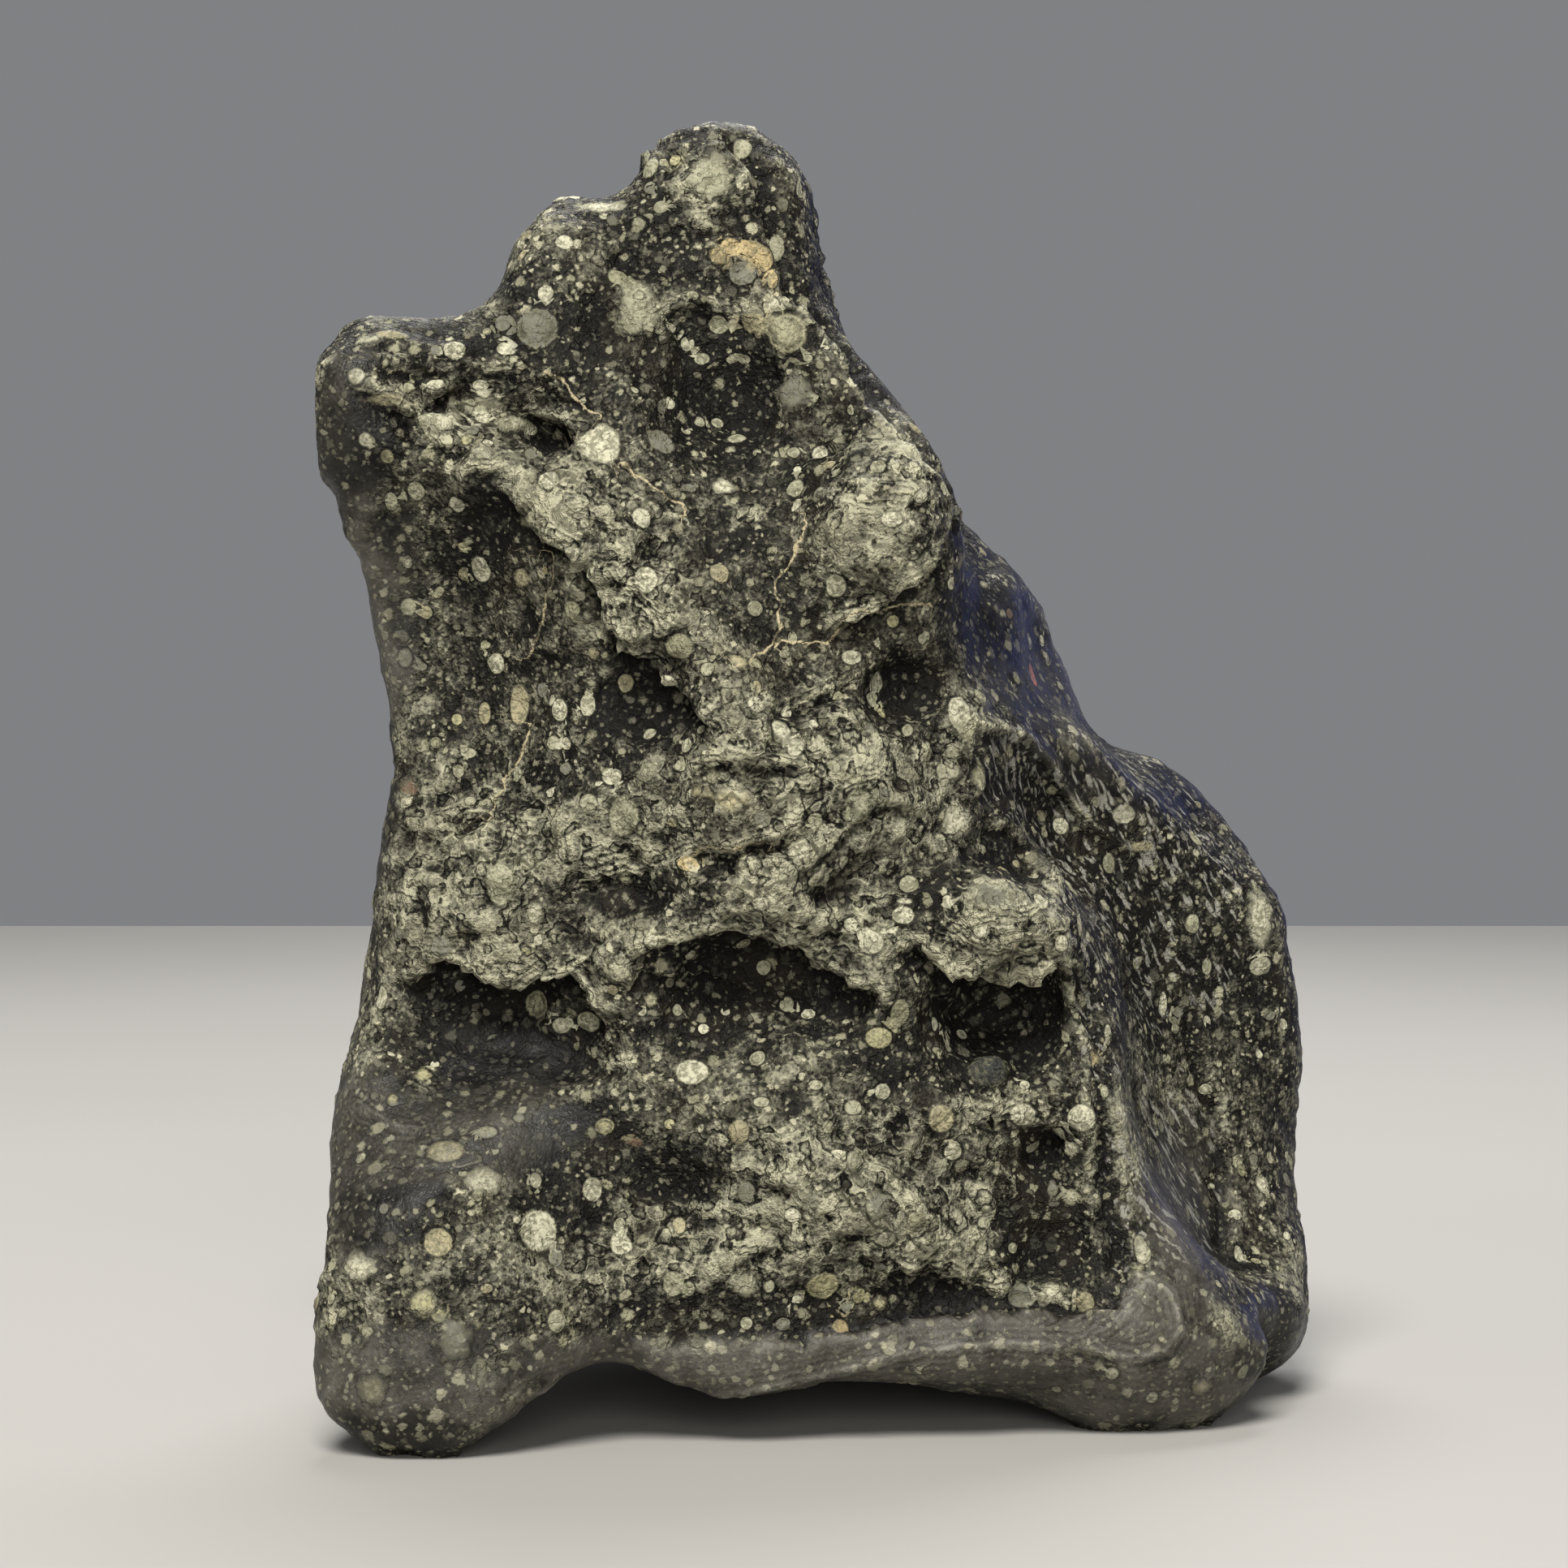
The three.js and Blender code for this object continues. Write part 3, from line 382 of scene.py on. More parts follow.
SCATTERED = 2600  # how many more are tried, all over the stone
SCATTER_SEED = 5
COMMON_RADIUS = 0.4  # half of them are drawn smaller than this
RADIUS_SPREAD = 0.42  # of its logarithm
SMALLEST_RADIUS, LARGEST_RADIUS = 0.36, 1.7
LARGEST_RADIUS_IN_FRONT = 0.5  # the larger ones there are listed one by one
SHARE_IN_FRONT = 0.3  # how many of those that fall in front are kept
IN_FRONT = 0.3  # a point that faces the eye more than this counts as in front
CLEARANCE = 0.05  # between two of them
STRETCHES = (0.75, 1.25)  # how far each of their half sizes may be from the radius
SCATTER_TONES = ["cream"] * 5 + ["pale"] * 8 + ["grey"] * 5 + ["olive"] * 2 + ["tan"] * 2 + ["yellow"]
SCATTER_LOOKS = ["even"] * 5 + [RINGED] + [RAGGED] * 2
FAR_GAP = 2.0  # beyond this many radii a chondrule isn't felt
FAR_AWAY = 1000.0  # where no chondrule is near
MESH_SPACING = 0.4  # about how far apart the mesh's points are
RISES = [0.3, 0.3, 0.22, 0.12, 0, -0.2]  # as shares of the radius: proud, flush, or plucked out
LARGEST_RISING_RADIUS = 0.9  # a larger one stands no prouder
SHADES = (0.85, 1.12)  # how much darker or paler than its tone each one may be

# ---- what the finish follows -------------------------------------------------------------------------------

# The far side's looks: the size and seed of a random field, and the values between which each look sets in.
# On the far side the darker look is a random darker tone; on the front it is painted shade.
FAR_SIDE_LOOKS = {"polish": (14, 17, -0.1, 0.3), "worn": (9, 18, 0, 0.4), "shade_and_dark_tone": (11, 16, 0, 0.4)}
NEAR_ROUNDS, FAR_ROUNDS = 8, 90  # how often the skin is relaxed to tell its creases and its hollows
CREASE_DEPTH, HOLLOW_DEPTH = 0.15, 0.8
FOOT_DEPTH = 0.3  # whatever is lower than this rests on the ground

# ---- small helpers -----------------------------------------------------------------------------------------


def linear(tone):
    """An sRGB hex value as linear red, green and blue."""
    parts = [int(tone[i:i + 2], 16) / 255 for i in (1, 3, 5)]
    return [part / 12.92 if part <= 0.04045 else ((part + 0.055) / 1.055) ** 2.4 for part in parts]


def blend(value, low, high):
    """0 below low, 1 above high, and smooth in between."""
    share = np.clip((value - low) / (high - low), 0, 1)
    return share * share * (3 - 2 * share)


def noise_at(points, size, seed, kind=noise.noise, *settings):
    """A smooth random value at each of many points, with features of about that size."""
    shift = Vector((7.3, 3.1, 5.7)) * seed
    return np.array([kind(Vector(point) / size + shift, *settings) for point in points.tolist()])


def noise_pair(points, size, seeds):
    """Two such values at each point, across and down."""
    return np.stack([noise_at(points, size, seed) for seed in seeds], axis=1)


def line_gap(places, line):
    """How far each place lies from a drawn line, which side of it, and how far along from its nearer end."""
    best = np.full(len(places), np.inf)
    side = np.ones(len(places))
    along = np.zeros(len(places))
    ends = [np.array(point, float) for point in line]
    runs = [np.linalg.norm(b - a) for a, b in zip(ends, ends[1:])]
    start = 0
    for a, b, run in zip(ends, ends[1:], runs):
        way = (b - a) / run
        offset = places - a
        reach = np.clip(offset @ way, 0, run)
        gap = np.linalg.norm(offset - reach[:, None] * way, axis=1)
        nearer = gap < best
        best[nearer] = gap[nearer]
        above = way[1] * offset[:, 0] - way[0] * offset[:, 1]
        side[nearer] = np.where(above[nearer] >= 0, 1, -1)
        walked = start + reach[nearer]
        along[nearer] = np.minimum(walked, sum(runs) - walked)
        start += run
    return best / STEPS_PER_MM, side, along / STEPS_PER_MM


def signed_gap(gap, side, along):
    """The distance from a drawn line, negative below it, and a little more past its ends."""
    return np.where(along > LINE_TIP, gap * side, gap + PAST_THE_TIP)


# ---- the stone's skin --------------------------------------------------------------------------------------


def points_of(mesh):
    """The mesh's points, in millimetres."""
    points = np.empty(len(mesh.vertices) * 3)
    mesh.vertices.foreach_get("co", points)
    return points.reshape(-1, 3) / MM


def normals_of(mesh):
    """The mesh's normals at its points."""
    normals = np.empty(len(mesh.vertices) * 3)
    mesh.vertices.foreach_get("normal", normals)
    return normals.reshape(-1, 3)


def move_points(mesh, points):
    """Moves the mesh's points to places given in millimetres."""
    mesh.vertices.foreach_set("co", (points * MM).ravel())
    mesh.update()


def relaxed(mesh, values, rounds, share=0.5):
    """Values at the points, each drawn that many times towards the mean of its neighbours."""
    edges = np.empty(len(mesh.edges) * 2, int)
    mesh.edges.foreach_get("vertices", edges)
    a, b = edges[::2], edges[1::2]
    starts, ends = np.concatenate([a, b]), np.concatenate([b, a])
    count = np.bincount(starts)[:, None]
    values = values.copy()
    for _ in range(rounds):
        sums = np.stack([np.bincount(starts, column[ends]) for column in values.T], axis=1)
        values += share * (sums / count - values)
    return values


def rounded_stone():
    """The solid's skin as one closed mesh of small quads, rounded between its facets."""
    cage = bmesh.new()
    cage.from_mesh(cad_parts["meteorite"].data)
    bmesh.ops.remove_doubles(cage, verts=cage.verts, dist=0.01 * MM)
    mesh = bpy.data.meshes.new("cage")
    cage.to_mesh(mesh)
    cage.free()
    for layer in ("custom_normal", "sharp_face", "sharp_edge"):
        if layer in mesh.attributes:
            mesh.attributes.remove(mesh.attributes[layer])
    mesh.materials.clear()
    stone = bpy.data.objects.new("stone", mesh)
    bpy.context.scene.collection.objects.link(stone)
    rounding = stone.modifiers.new("rounding", "SUBSURF")
    rounding.levels = rounding.render_levels = 2
    shown = stone.evaluated_get(bpy.context.evaluated_depsgraph_get())
    stone.modifiers.clear()
    stone.data = bpy.data.meshes.new_from_object(shown)
    stone.data.name = "stone"
    stone.data.shade_smooth()
    points = relaxed(stone.data, points_of(stone.data), ROUNDING_ROUNDS)
    # rounding draws the tips and hollows in, so they are let out again
    points += LET_OUT * (points - relaxed(stone.data, points, LET_OUT_ROUNDS))
    move_points(stone.data, swollen(points))
    return stone


def swollen(points):
    """The points, with the flanks let out to the stone's real outline."""
    across, down = seen_places(points).T
    left = np.interp(down, *zip(*LEFT_SWELL)) * (1 - blend(across, *LEFT_FLANK))
    right = np.interp(down, *zip(*RIGHT_SWELL)) * blend(across, *RIGHT_FLANK)
    return points + np.outer(right - left, [1, 0, 0]) / STEPS_PER_MM


def front_relief(points, normals):
    """The height of the front's relief and of the far side's thumbprints, how squarely each point faces the
    eye, and what the finish follows there."""
    to_eye = np.array(EYE) - points
    to_eye /= np.linalg.norm(to_eye, axis=1)[:, None]
    squareness = (normals * to_eye).sum(axis=1)
    facing = blend(squareness, 0.04, 0.3)
    nearby = blend(squareness, -0.6, -0.1)  # this one reaches a little round the edge
    wavering = WAVER * noise_pair(points, 1.6, (1, 2)) + FINE_WAVER * noise_pair(points, 0.7, (3, 4))
    places = seen_places(points) + wavering
    steadier_places = places - 0.7 * wavering

    def nearness(place, half_width, half_height):
        """1 in the middle of an ellipse, 0 at its edge and beyond."""
        offset = (places - np.array(place)) / np.array([half_width, half_height])
        return np.clip(1 - (offset ** 2).sum(axis=1), 0, 1)

    patchy = 0.5 * noise_at(points, 2.2, 5) + 0.3 * noise_at(points, 0.9, 6)

    def spread(spots, low, high):
        """How much each point shares in some places' finish, with a patchy edge."""
        share = np.zeros(len(points))
        for across, down, half_width, half_height in spots:
            near = nearness((across, down), 1.25 * half_width, 1.25 * half_height)
            share = np.maximum(share, blend(near + patchy * (near > 0), low, high))
        return share

    height = np.zeros(len(points))
    worn = np.zeros(len(points))
    rim = np.full(len(points), LINE_REACH)

    def add_rim(gap, side, along):
        """Lets the finish follow a line where no other is nearer."""
        nearer = (gap < np.abs(rim)) & (facing > LEAST_FACING)
        rim[nearer] = signed_gap(gap, side, along)[nearer]

    for lift, cut, above, below, line in LEDGES + FOLDS:
        gap, side, along = line_gap(places, line)
        shelf = lift * np.clip(1 - gap / above, 0, 1) ** 2
        undercut = -cut * np.clip(1 - gap / below, 0, 1) ** 2
        over_edge = blend(gap * side, -0.3, 0.2)
        fade = blend(along, 0, 1.6)
        height += (shelf * over_edge + undercut * (1 - over_edge)) * fade
        if (lift, cut, above, below, line) in LEDGES:
            add_rim(gap, side, along)
            # the top of a ledge is paler: partly real wear, partly painted highlight where it faces up
            worn = np.maximum(worn, blend(1 - gap / above + patchy, 0.2, 0.8) * over_edge * fade)
    for lift, half_width, line in RIDGES:
        gap, side, along = line_gap(steadier_places, line)
        add_rim(gap, side, along)
        fade = blend(along, -0.1, 1.6)
        height += lift * np.clip(1 - gap / half_width, 0, 1) ** 1.6 * fade
        worn = np.maximum(worn, 0.3 * blend(1 - gap / half_width + patchy, 0.3, 0.8) * fade)
    for across, down, half_width, half_height, depth in HOLLOWS:
        height -= depth * nearness((across, down), half_width, half_height) ** 1.3
    polish = spread(SMOOTH_PLACES, 0, 0.6)
    # painted shade in the darkened places
    shade_and_dark_tone = spread(SHADED_PLACES, 0.05, 0.7)
    worn = np.maximum(worn, 0.85 * spread(WEAR_AND_SHEEN_PLACES, 0.1, 0.8)) * (1 - 0.7 * shade_and_dark_tone) * (1 - 0.6 * polish)
    # painted light in the paler places lifts the painted shade
    shade_and_dark_tone -= 0.4 * (1 - shade_and_dark_tone) * spread(PAINTED_LIGHT_PLACES, 0.05, 0.7)
    streaked = spread(STREAKED_PLACES, 0.05, 0.6)
    looks = {"polish": polish * nearby, "worn": worn * facing, "shade_and_dark_tone": shade_and_dark_tone * nearby, "rim": rim,
             "streaked": streaked * facing}
    thumbprints = 1.3 * blend(noise_at(points, 7.5, 21), 0.1, 0.55)
    thumbprints += 0.5 * blend(noise_at(points, 3, 22), 0.1, 0.5)
    return height * facing - thumbprints * (1 - nearby), facing, looks


def wild_relief(points, rough):
    """Crags, small shelves and grit, more of them where the stone is rough, on a gentle swell."""
    crags = noise_at(points, 3.4, 11, noise.ridged_multi_fractal, 0.9, 2.1, 4, 1.0, 2.0) - 1.1
    swell = noise_at(points, 5.5, 12)
    patches = blend(noise_at(points, 6.0, 13), -0.15, 0.35)
    fall = -points[:, 2] + 0.3 * points[:, 0] + 0.35 * points[:, 1]
    step = fall / 2.3 + 1.7 * noise_at(points, 6.5, 14)
    step -= np.floor(step)
    shelves = step * (1 - blend(step, 0.84, 1)) - 0.4
    grit = noise_at(points, 0.9, 15, noise.fractal, 0.7, 2.2, 3)
    height = rough * (0.4 * crags + 0.6 * shelves * patches + 0.3 * grit)
    return height + 0.2 * swell + 0.04 * grit


def chondrules_in_front(skin):
    """The listed chondrules, each as its middle, half sizes, tone and look."""
    for across, down, width, height, tone, *look in CHONDRULES:
        middle = skin.ray_cast(EYE, sight_line(across, down))[0]
        if middle is None:
            continue
        half = np.array([width, (width + height) / 2, height]) / 2 / STEPS_PER_MM
        yield np.array(middle), half, tone, look[0] if look else "even"


def scattered_chondrules(points, facing, taken):
    """Smaller chondrules all over the stone, which leave room for those that are there."""
    draw = random.Random(SCATTER_SEED)
    middles = [middle for middle, *_ in taken]
    radii = [half.max() for _, half, *_ in taken]
    for _ in range(SCATTERED):
        at = draw.randrange(len(points))
        radius = COMMON_RADIUS * math.exp(draw.gauss(0, RADIUS_SPREAD))
        in_front = facing[at] > IN_FRONT
        largest = LARGEST_RADIUS_IN_FRONT if in_front else LARGEST_RADIUS
        radius = min(max(radius, SMALLEST_RADIUS), largest)
        half = radius * np.array([draw.uniform(*STRETCHES) for _ in range(3)])
        tone = draw.choice(SCATTER_TONES)
        look = draw.choice(SCATTER_LOOKS)
        if in_front and draw.random() > SHARE_IN_FRONT:
            continue
        gaps = np.linalg.norm(np.array(middles) - points[at], axis=1) - np.array(radii) - radius
        if gaps.min() < CLEARANCE:
            continue
        middles.append(points[at])
        radii.append(radius)
        yield points[at], half, tone, look


def set_chondrules(mesh, points, facing):
    """Seats the chondrules: some stand proud as beads, some lie flush, some are plucked out. Each point keeps
    the middle, half sizes and tone of the nearest chondrule, so that the finish can draw a true outline."""
    faces = [tuple(face.vertices) for face in mesh.polygons]
    skin = BVHTree.FromPolygons(points.tolist(), faces)
    chondrules = list(chondrules_in_front(skin))
    chondrules += list(scattered_chondrules(points, facing, chondrules))
    tree = KDTree(len(points))
    for index, point in enumerate(points.tolist()):
        tree.insert(point, index)
    tree.balance()
    gap = np.full(len(points), FAR_GAP)
    middles = np.full((len(points), 3), FAR_AWAY)
    halves = np.ones((len(points), 3))
    tone = np.zeros((len(points), 4))
    looks = {RINGED: np.zeros(len(points)), RAGGED: np.zeros(len(points))}
    height = np.zeros(len(points))
    draw = random.Random(SCATTER_SEED + 1)
    for middle, half, name, look in chondrules:
        within = FAR_GAP * half.max() + MESH_SPACING
        near = np.array([index for _, index, _ in tree.find_range(middle, within)])
        rise = draw.choice(RISES) * min(half.min(), LARGEST_RISING_RADIUS)
        shade = draw.uniform(*SHADES)
        if not len(near):
            continue
        here = np.linalg.norm((points[near] - middle) / half, axis=1)
        closer = here < gap[near]
        near, here = near[closer], here[closer]
        gap[near] = here
        middles[near] = middle
        halves[near] = half
        tone[near] = [*(shade * part for part in linear(TONES[name])), 1]
        for kind, flag in looks.items():
            flag[near] = look == kind
        height[near] = rise * np.clip(1 - here ** 2, 0, 1) ** 0.6
    store(mesh, "chondrule_gap", gap)
    store(mesh, "chondrule_middle", middles)
    store(mesh, "chondrule_half", halves)
    store(mesh, "chondrule_tone", tone)
    store(mesh, "ringed", looks[RINGED])
    store(mesh, "ragged", looks[RAGGED])
    return height


def seam_offset(points, facing):
    """The distance from the nearest seam, with one sign on each side of it."""
    places = seen_places(points) + SEAM_WAVER * noise_pair(points, 1.0, (31, 32))
    offset = np.full(len(points), LINE_REACH)
    for line in SEAMS:
        gap, side, along = line_gap(places, line)
        nearer = gap < np.abs(offset)
        offset[nearer] = signed_gap(gap, side, along * (facing > LEAST_FACING))[nearer]
    return offset


def lay_out_patches(mesh, normals):
    """A UV map with a patch for each of the stone's six sides, so that a finish baked from it stays sharp."""
    low, high = points_of(mesh).min(axis=0), points_of(mesh).max(axis=0)
    wide, deep, tall = high - low
    margin = 2
    sheet = 2 * wide + deep + 4 * margin
    row = tall + 2 * margin
    # each side of the stone: its two axes, and where its patch starts on the sheet
    patches = {
        (1, -1): (0, 2, margin, margin),
        (1, 1): (0, 2, wide + 2 * margin, margin),
        (0, -1): (1, 2, 2 * wide + 3 * margin, margin),
        (0, 1): (1, 2, margin, row),
        (2, 1): (0, 1, deep + 2 * margin, row),
        (2, -1): (0, 1, deep + 2 * margin, row + deep + margin),
    }
    corners = np.empty(len(mesh.loops), int)
    mesh.loops.foreach_get("vertex_index", corners)
    sizes = np.empty(len(mesh.polygons), int)
    mesh.polygons.foreach_get("loop_total", sizes)
    face_of = np.repeat(np.arange(len(sizes)), sizes)
    facing = np.stack([np.bincount(face_of, column[corners]) for column in normals.T], axis=1)
    # the front and the back get a little more than their share
    axis = np.abs(facing * [1, 1.1, 0.9]).argmax(axis=1)
    sign = np.sign(facing[np.arange(len(axis)), axis])
    at = points_of(mesh)[corners] - low
    spots = np.zeros((len(corners), 2))
    for (side_axis, side_sign), (u, v, left, bottom) in patches.items():
        ours = ((axis == side_axis) & (sign == side_sign))[face_of]
        spots[ours] = (at[ours][:, [u, v]] + [left, bottom]) / sheet
    mesh.uv_layers.new(name="OFBake").data.foreach_set("uv", spots.ravel())


def store(mesh, name, values):
    """Keeps a number, a vector or a colour at each point, for the finish to follow."""
    kind, part = {1: ("FLOAT", "value"), 3: ("FLOAT_VECTOR", "vector"), 4: ("FLOAT_COLOR", "color")}[
        values.size // len(values)
    ]
    layer = mesh.attributes.new(name, kind, "POINT")
    layer.data.foreach_set(part, values.astype(np.float32).ravel())


def store_hollows(mesh, points):
    """Keeps how deep each point lies in a small crease and in a wide hollow."""
    near = relaxed(mesh, points, NEAR_ROUNDS)
    far = relaxed(mesh, near, FAR_ROUNDS)
    normals = normals_of(mesh)
    store(mesh, "crease", ((near - points) * normals).sum(axis=1) / CREASE_DEPTH)
    store(mesh, "hollow", np.clip(((far - near) * normals).sum(axis=1) / HOLLOW_DEPTH, -1, 1))


def carry_looks_round(points, facing, looks):
    """Carries the looks of the front on over the far side."""
    for name, (size, seed, low, high) in FAR_SIDE_LOOKS.items():
        hidden = blend(noise_at(points, size, seed), low, high) * (1 - facing)
        looks[name] = np.maximum(looks[name], 0.7 * hidden) if name == "polish" else looks[name] + hidden
    looks["worn"] = np.clip(looks["worn"], 0, 1) * (1 - 0.6 * looks["polish"] * (1 - facing))


def carved_stone():
    """The finished stone: relief, chondrules, seams, and what its finish follows."""
    stone = rounded_stone()
    mesh = stone.data
    points, normals = points_of(mesh), normals_of(mesh)
    lay_out_patches(mesh, normals)
    height, facing, looks = front_relief(points, normals)
    carry_looks_round(points, facing, looks)
    rough = (1 - 0.85 * looks["polish"]) * (0.45 + 1.2 * looks["worn"])
    points = points + normals * (height + wild_relief(points, rough))[:, None]
    move_points(mesh, points)
    points = relaxed(mesh, points, 1, 0.3)
    move_points(mesh, points)
    normals = normals_of(mesh)

    points = points + normals * set_chondrules(mesh, points, facing)[:, None]
    # nothing reaches past the solid, and the feet are flat
    low, high = (np.array(corner) / MM for corner in CAD_BOX)
    points = np.clip(points, low, high)
    points[points[:, 2] < FOOT_DEPTH, 2] = 0
    move_points(mesh, points)

    for name, values in looks.items():
        store(mesh, name, values)
    store(mesh, "seam", seam_offset(points, facing))
    store(mesh, "stain", blend(noise_at(points, 4, 19) + 0.4 * noise_at(points, 1.5, 20), 0.1, 0.5))
    store_hollows(mesh, points)
    return stone


# ---- finishes ----------------------------------------------------------------------------------------------

# How wide each pattern's features are, in millimetres.
GRAIN = 0.3  # the matrix's own grain is finer, and is drawn as coarse as it needs to show
CRINKLE = 1.5
WRINKLE = 1.3
BLOTCH = 4.5
STREAK = 0.5
STREAK_SLANT = (0.45, -0.4, 0)  # in radians
STREAK_STRETCH = (1, 1, 4)
UNEVENNESS = 0.8  # of the granules' outlines
CLOUD = 250  # of the board's uneven tone
# The granules: the size of the cells that hold them, the share of cells that do, and how strong they are.
GRANULES = [(0.46, 0.8, 0.65), (0.72, 0.68, 0.75), (1.2, 0.45, 0.8)]

# Tones as sRGB hex values, from dark to bright where there are several.
MATRIX_TONES = [(0.0, "#090806"), (0.22, "#1b1a14"), (0.42, "#434137"), (0.6, "#6a6859"), (1.0, "#99967f")]
SATIN_TONES = [(0.0, "#0c0b0a"), (0.3, "#272521"), (0.6, "#4b4842"), (1.0, "#7a776e")]
GRANULE_TONES = [(0.0, "#2c2b24"), (0.35, "#504e43"), (0.8, "#838069"), (1.0, "#aaa68d")]
STAIN_TONE = "#221b14"
STREAK_TONE = "#85837a"
CHONDRULE_RIM_TONE = "#100f0b"
CHONDRULE_RING_TONE = "#3a382c"
CHONDRULE_MOTTLE_TONE = "#565443"
CLAY_TONE = "#a5997a"
BOARD_TONES = [(0.3, "#918f8c"), (0.7, "#989693")]


def add(tree, kind, sockets=None, stops=None, **settings):
    """Adds a node with its settings. A socket takes a value, or the output that feeds it."""
    new = tree.nodes.new(kind)
    for name, value in settings.items():
        setattr(new, name, value)
    for socket, value in (sockets or {}).items():
        if isinstance(value, bpy.types.NodeSocket):
            tree.links.new(value, new.inputs[socket])
        else:
            new.inputs[socket].default_value = value
    if stops:
        ramp = new.color_ramp
        while len(ramp.elements) < len(stops):
            ramp.elements.new(1)
        for element, (position, tone) in zip(ramp.elements, stops):
            element.position = position
            element.color = [*linear(tone), 1]
    return new


def new_finish(name):
    """A new material, its node tree and its surface node."""
    finish = bpy.data.materials.new(name)
    finish.use_nodes = True
    tree = finish.node_tree
    return finish, tree, tree.nodes["Principled BSDF"]


def wind_polished_chondrite():
    """Fine black matrix with a satin desert polish: painted shade makes it nearly black in the hollows; it is
    grey and crinkled where it is worn, partly real wear and partly painted sheen, and it is crowded with pale
    granules and set with cream, olive and tan chondrules."""
    finish, tree, surface = new_finish("wind-polished carbonaceous chondrite")

    def calculate(operation, *values):
        return add(tree, "ShaderNodeMath", dict(enumerate(values)), operation=operation).outputs[0]

    def times(value, factor):
        return calculate("MULTIPLY", value, factor)

    def centred(value):
        return calculate("SUBTRACT", value, 0.5)

    def unsigned(value):
        return calculate("ABSOLUTE", value)

    def plus(total, value, factor):
        """The total, with that many times the value added."""
        return calculate("MULTIPLY_ADD", value, factor, total)

    def between(value, low, high, from_value=0.0, to_value=1.0):
        """From the first value to the second as the input goes from low to high."""
        sockets = {0: value, 1: low, 2: high, 3: from_value, 4: to_value}
        return add(tree, "ShaderNodeMapRange", sockets, interpolation_type="SMOOTHSTEP").outputs[0]

    def mixed(share, below, above):
        """One colour laid over another, by that share."""
        above = [*linear(above), 1] if isinstance(above, str) else above
        return add(tree, "ShaderNodeMix", {0: share, 6: below, 7: above}, data_type="RGBA").outputs[2]

    def ramp(value, stops):
        return add(tree, "ShaderNodeValToRGB", {0: value}, stops).outputs[0]

    def vector(operation, *values, output=0):
        return add(tree, "ShaderNodeVectorMath", dict(enumerate(values)), operation=operation).outputs[output]

    def scaled(value, factor):
        return add(tree, "ShaderNodeVectorMath", {0: value, 3: factor}, operation="SCALE").outputs[0]

    def feature(size, detail, roughness, place=None):
        """Noise with features of that size in millimetres, as a value and as a colour."""
        sockets = {
            "Vector": place or millimetres, "Scale": 1 / size, "Detail": detail, "Roughness": roughness,
        }
        return add(tree, "ShaderNodeTexNoise", sockets).outputs

    def kept(name, output="Fac"):
        """What the stone's mesh keeps under that name."""
        return add(tree, "ShaderNodeAttribute", attribute_name=name).outputs[output]

    millimetres = scaled(add(tree, "ShaderNodeTexCoord").outputs["Object"], 1 / MM)
    crease, hollow, polish, worn, shade_and_dark_tone = map(kept, ("crease", "hollow", "polish", "worn", "shade_and_dark_tone"))
    stain, seam, rim, streaked = map(kept, ("stain", "seam", "rim", "streaked"))
    rough_gap, ringed, ragged = map(kept, ("chondrule_gap", "ringed", "ragged"))
    middle, half = kept("chondrule_middle", "Vector"), kept("chondrule_half", "Vector")
    chondrule_tone = kept("chondrule_tone", "Color")

    # the matrix: crowded grains, painted shade in the hollows, and paler crinkles where worn: wear and
    # painted sheen
    grain = centred(feature(GRAIN, 2.0, 0.6)[0])
    crinkle = centred(feature(CRINKLE, 4.0, 0.7)[0])
    rawness = plus(1.0, polish, -0.72)
    wrinkle = centred(feature(WRINKLE, 1.2, 0.5)[0])
    wrinkle = plus(wrinkle, grain, 0.12)
    # the crests of the wrinkles are painted paler where worn: partly real wear, partly painted highlight
    crest = between(unsigned(wrinkle), 0.035, 0.0)
    crest = times(crest, worn)
    # the crevices between the wrinkles are painted dark: painted shade, besides their groove in the bump
    crevice = between(unsigned(plus(wrinkle, 0.085, 1.0)), 0.04, 0.01)
    crevice = times(times(crevice, plus(0.35, worn, 0.65)), rawness)
    # crinkles that run along the ledges, set in the bump and painted as bands of highlight and shade
    near_ledge = calculate("MAXIMUM", worn, times(polish, 0.35))
    near_ledge = times(between(unsigned(rim), 2.6, 0.4), near_ledge)
    crinkled = calculate("SINE", plus(times(rim, 13), crinkle, 11))
    crinkled = times(crinkled, near_ledge)
    blotch = centred(feature(BLOTCH, 2.0, 0.6)[0])
    # painted highlight along the edges of the ledges and ridges
    rim_highlight = between(unsigned(plus(rim, grain, 0.3)), 0.2, 0.05)
    rim_highlight = times(rim_highlight, between(crinkle, -0.12, 0.04, 0.1, 1.0))
    # paler where worn: partly real wear, partly painted sheen
    paleness = plus(0.31, worn, 0.28)
    paleness = plus(paleness, crinkled, 0.17)
    paleness = plus(paleness, blotch, 0.5)
    paleness = plus(paleness, rim_highlight, plus(0.3, polish, -0.26))
    # painted shade from the darkened places, and the far side's random darker tone
    paleness = plus(paleness, shade_and_dark_tone, -0.26)
    # painted shade in the wide hollows and the small creases
    paleness = plus(paleness, hollow, -0.2)
    paleness = plus(paleness, crease, -0.14)
    paleness = plus(paleness, polish, -0.04)
    paleness = plus(paleness, crest, 0.32)
    paleness = plus(paleness, crevice, -0.4)
    contrast = plus(grain, crinkle, plus(1.7, worn, 0.5))
    paleness = plus(paleness, contrast, rawness)
    matrix = ramp(paleness, MATRIX_TONES)
    matrix = mixed(times(stain, 0.35), matrix, STAIN_TONE)
    matrix = mixed(polish, matrix, ramp(paleness, SATIN_TONES))

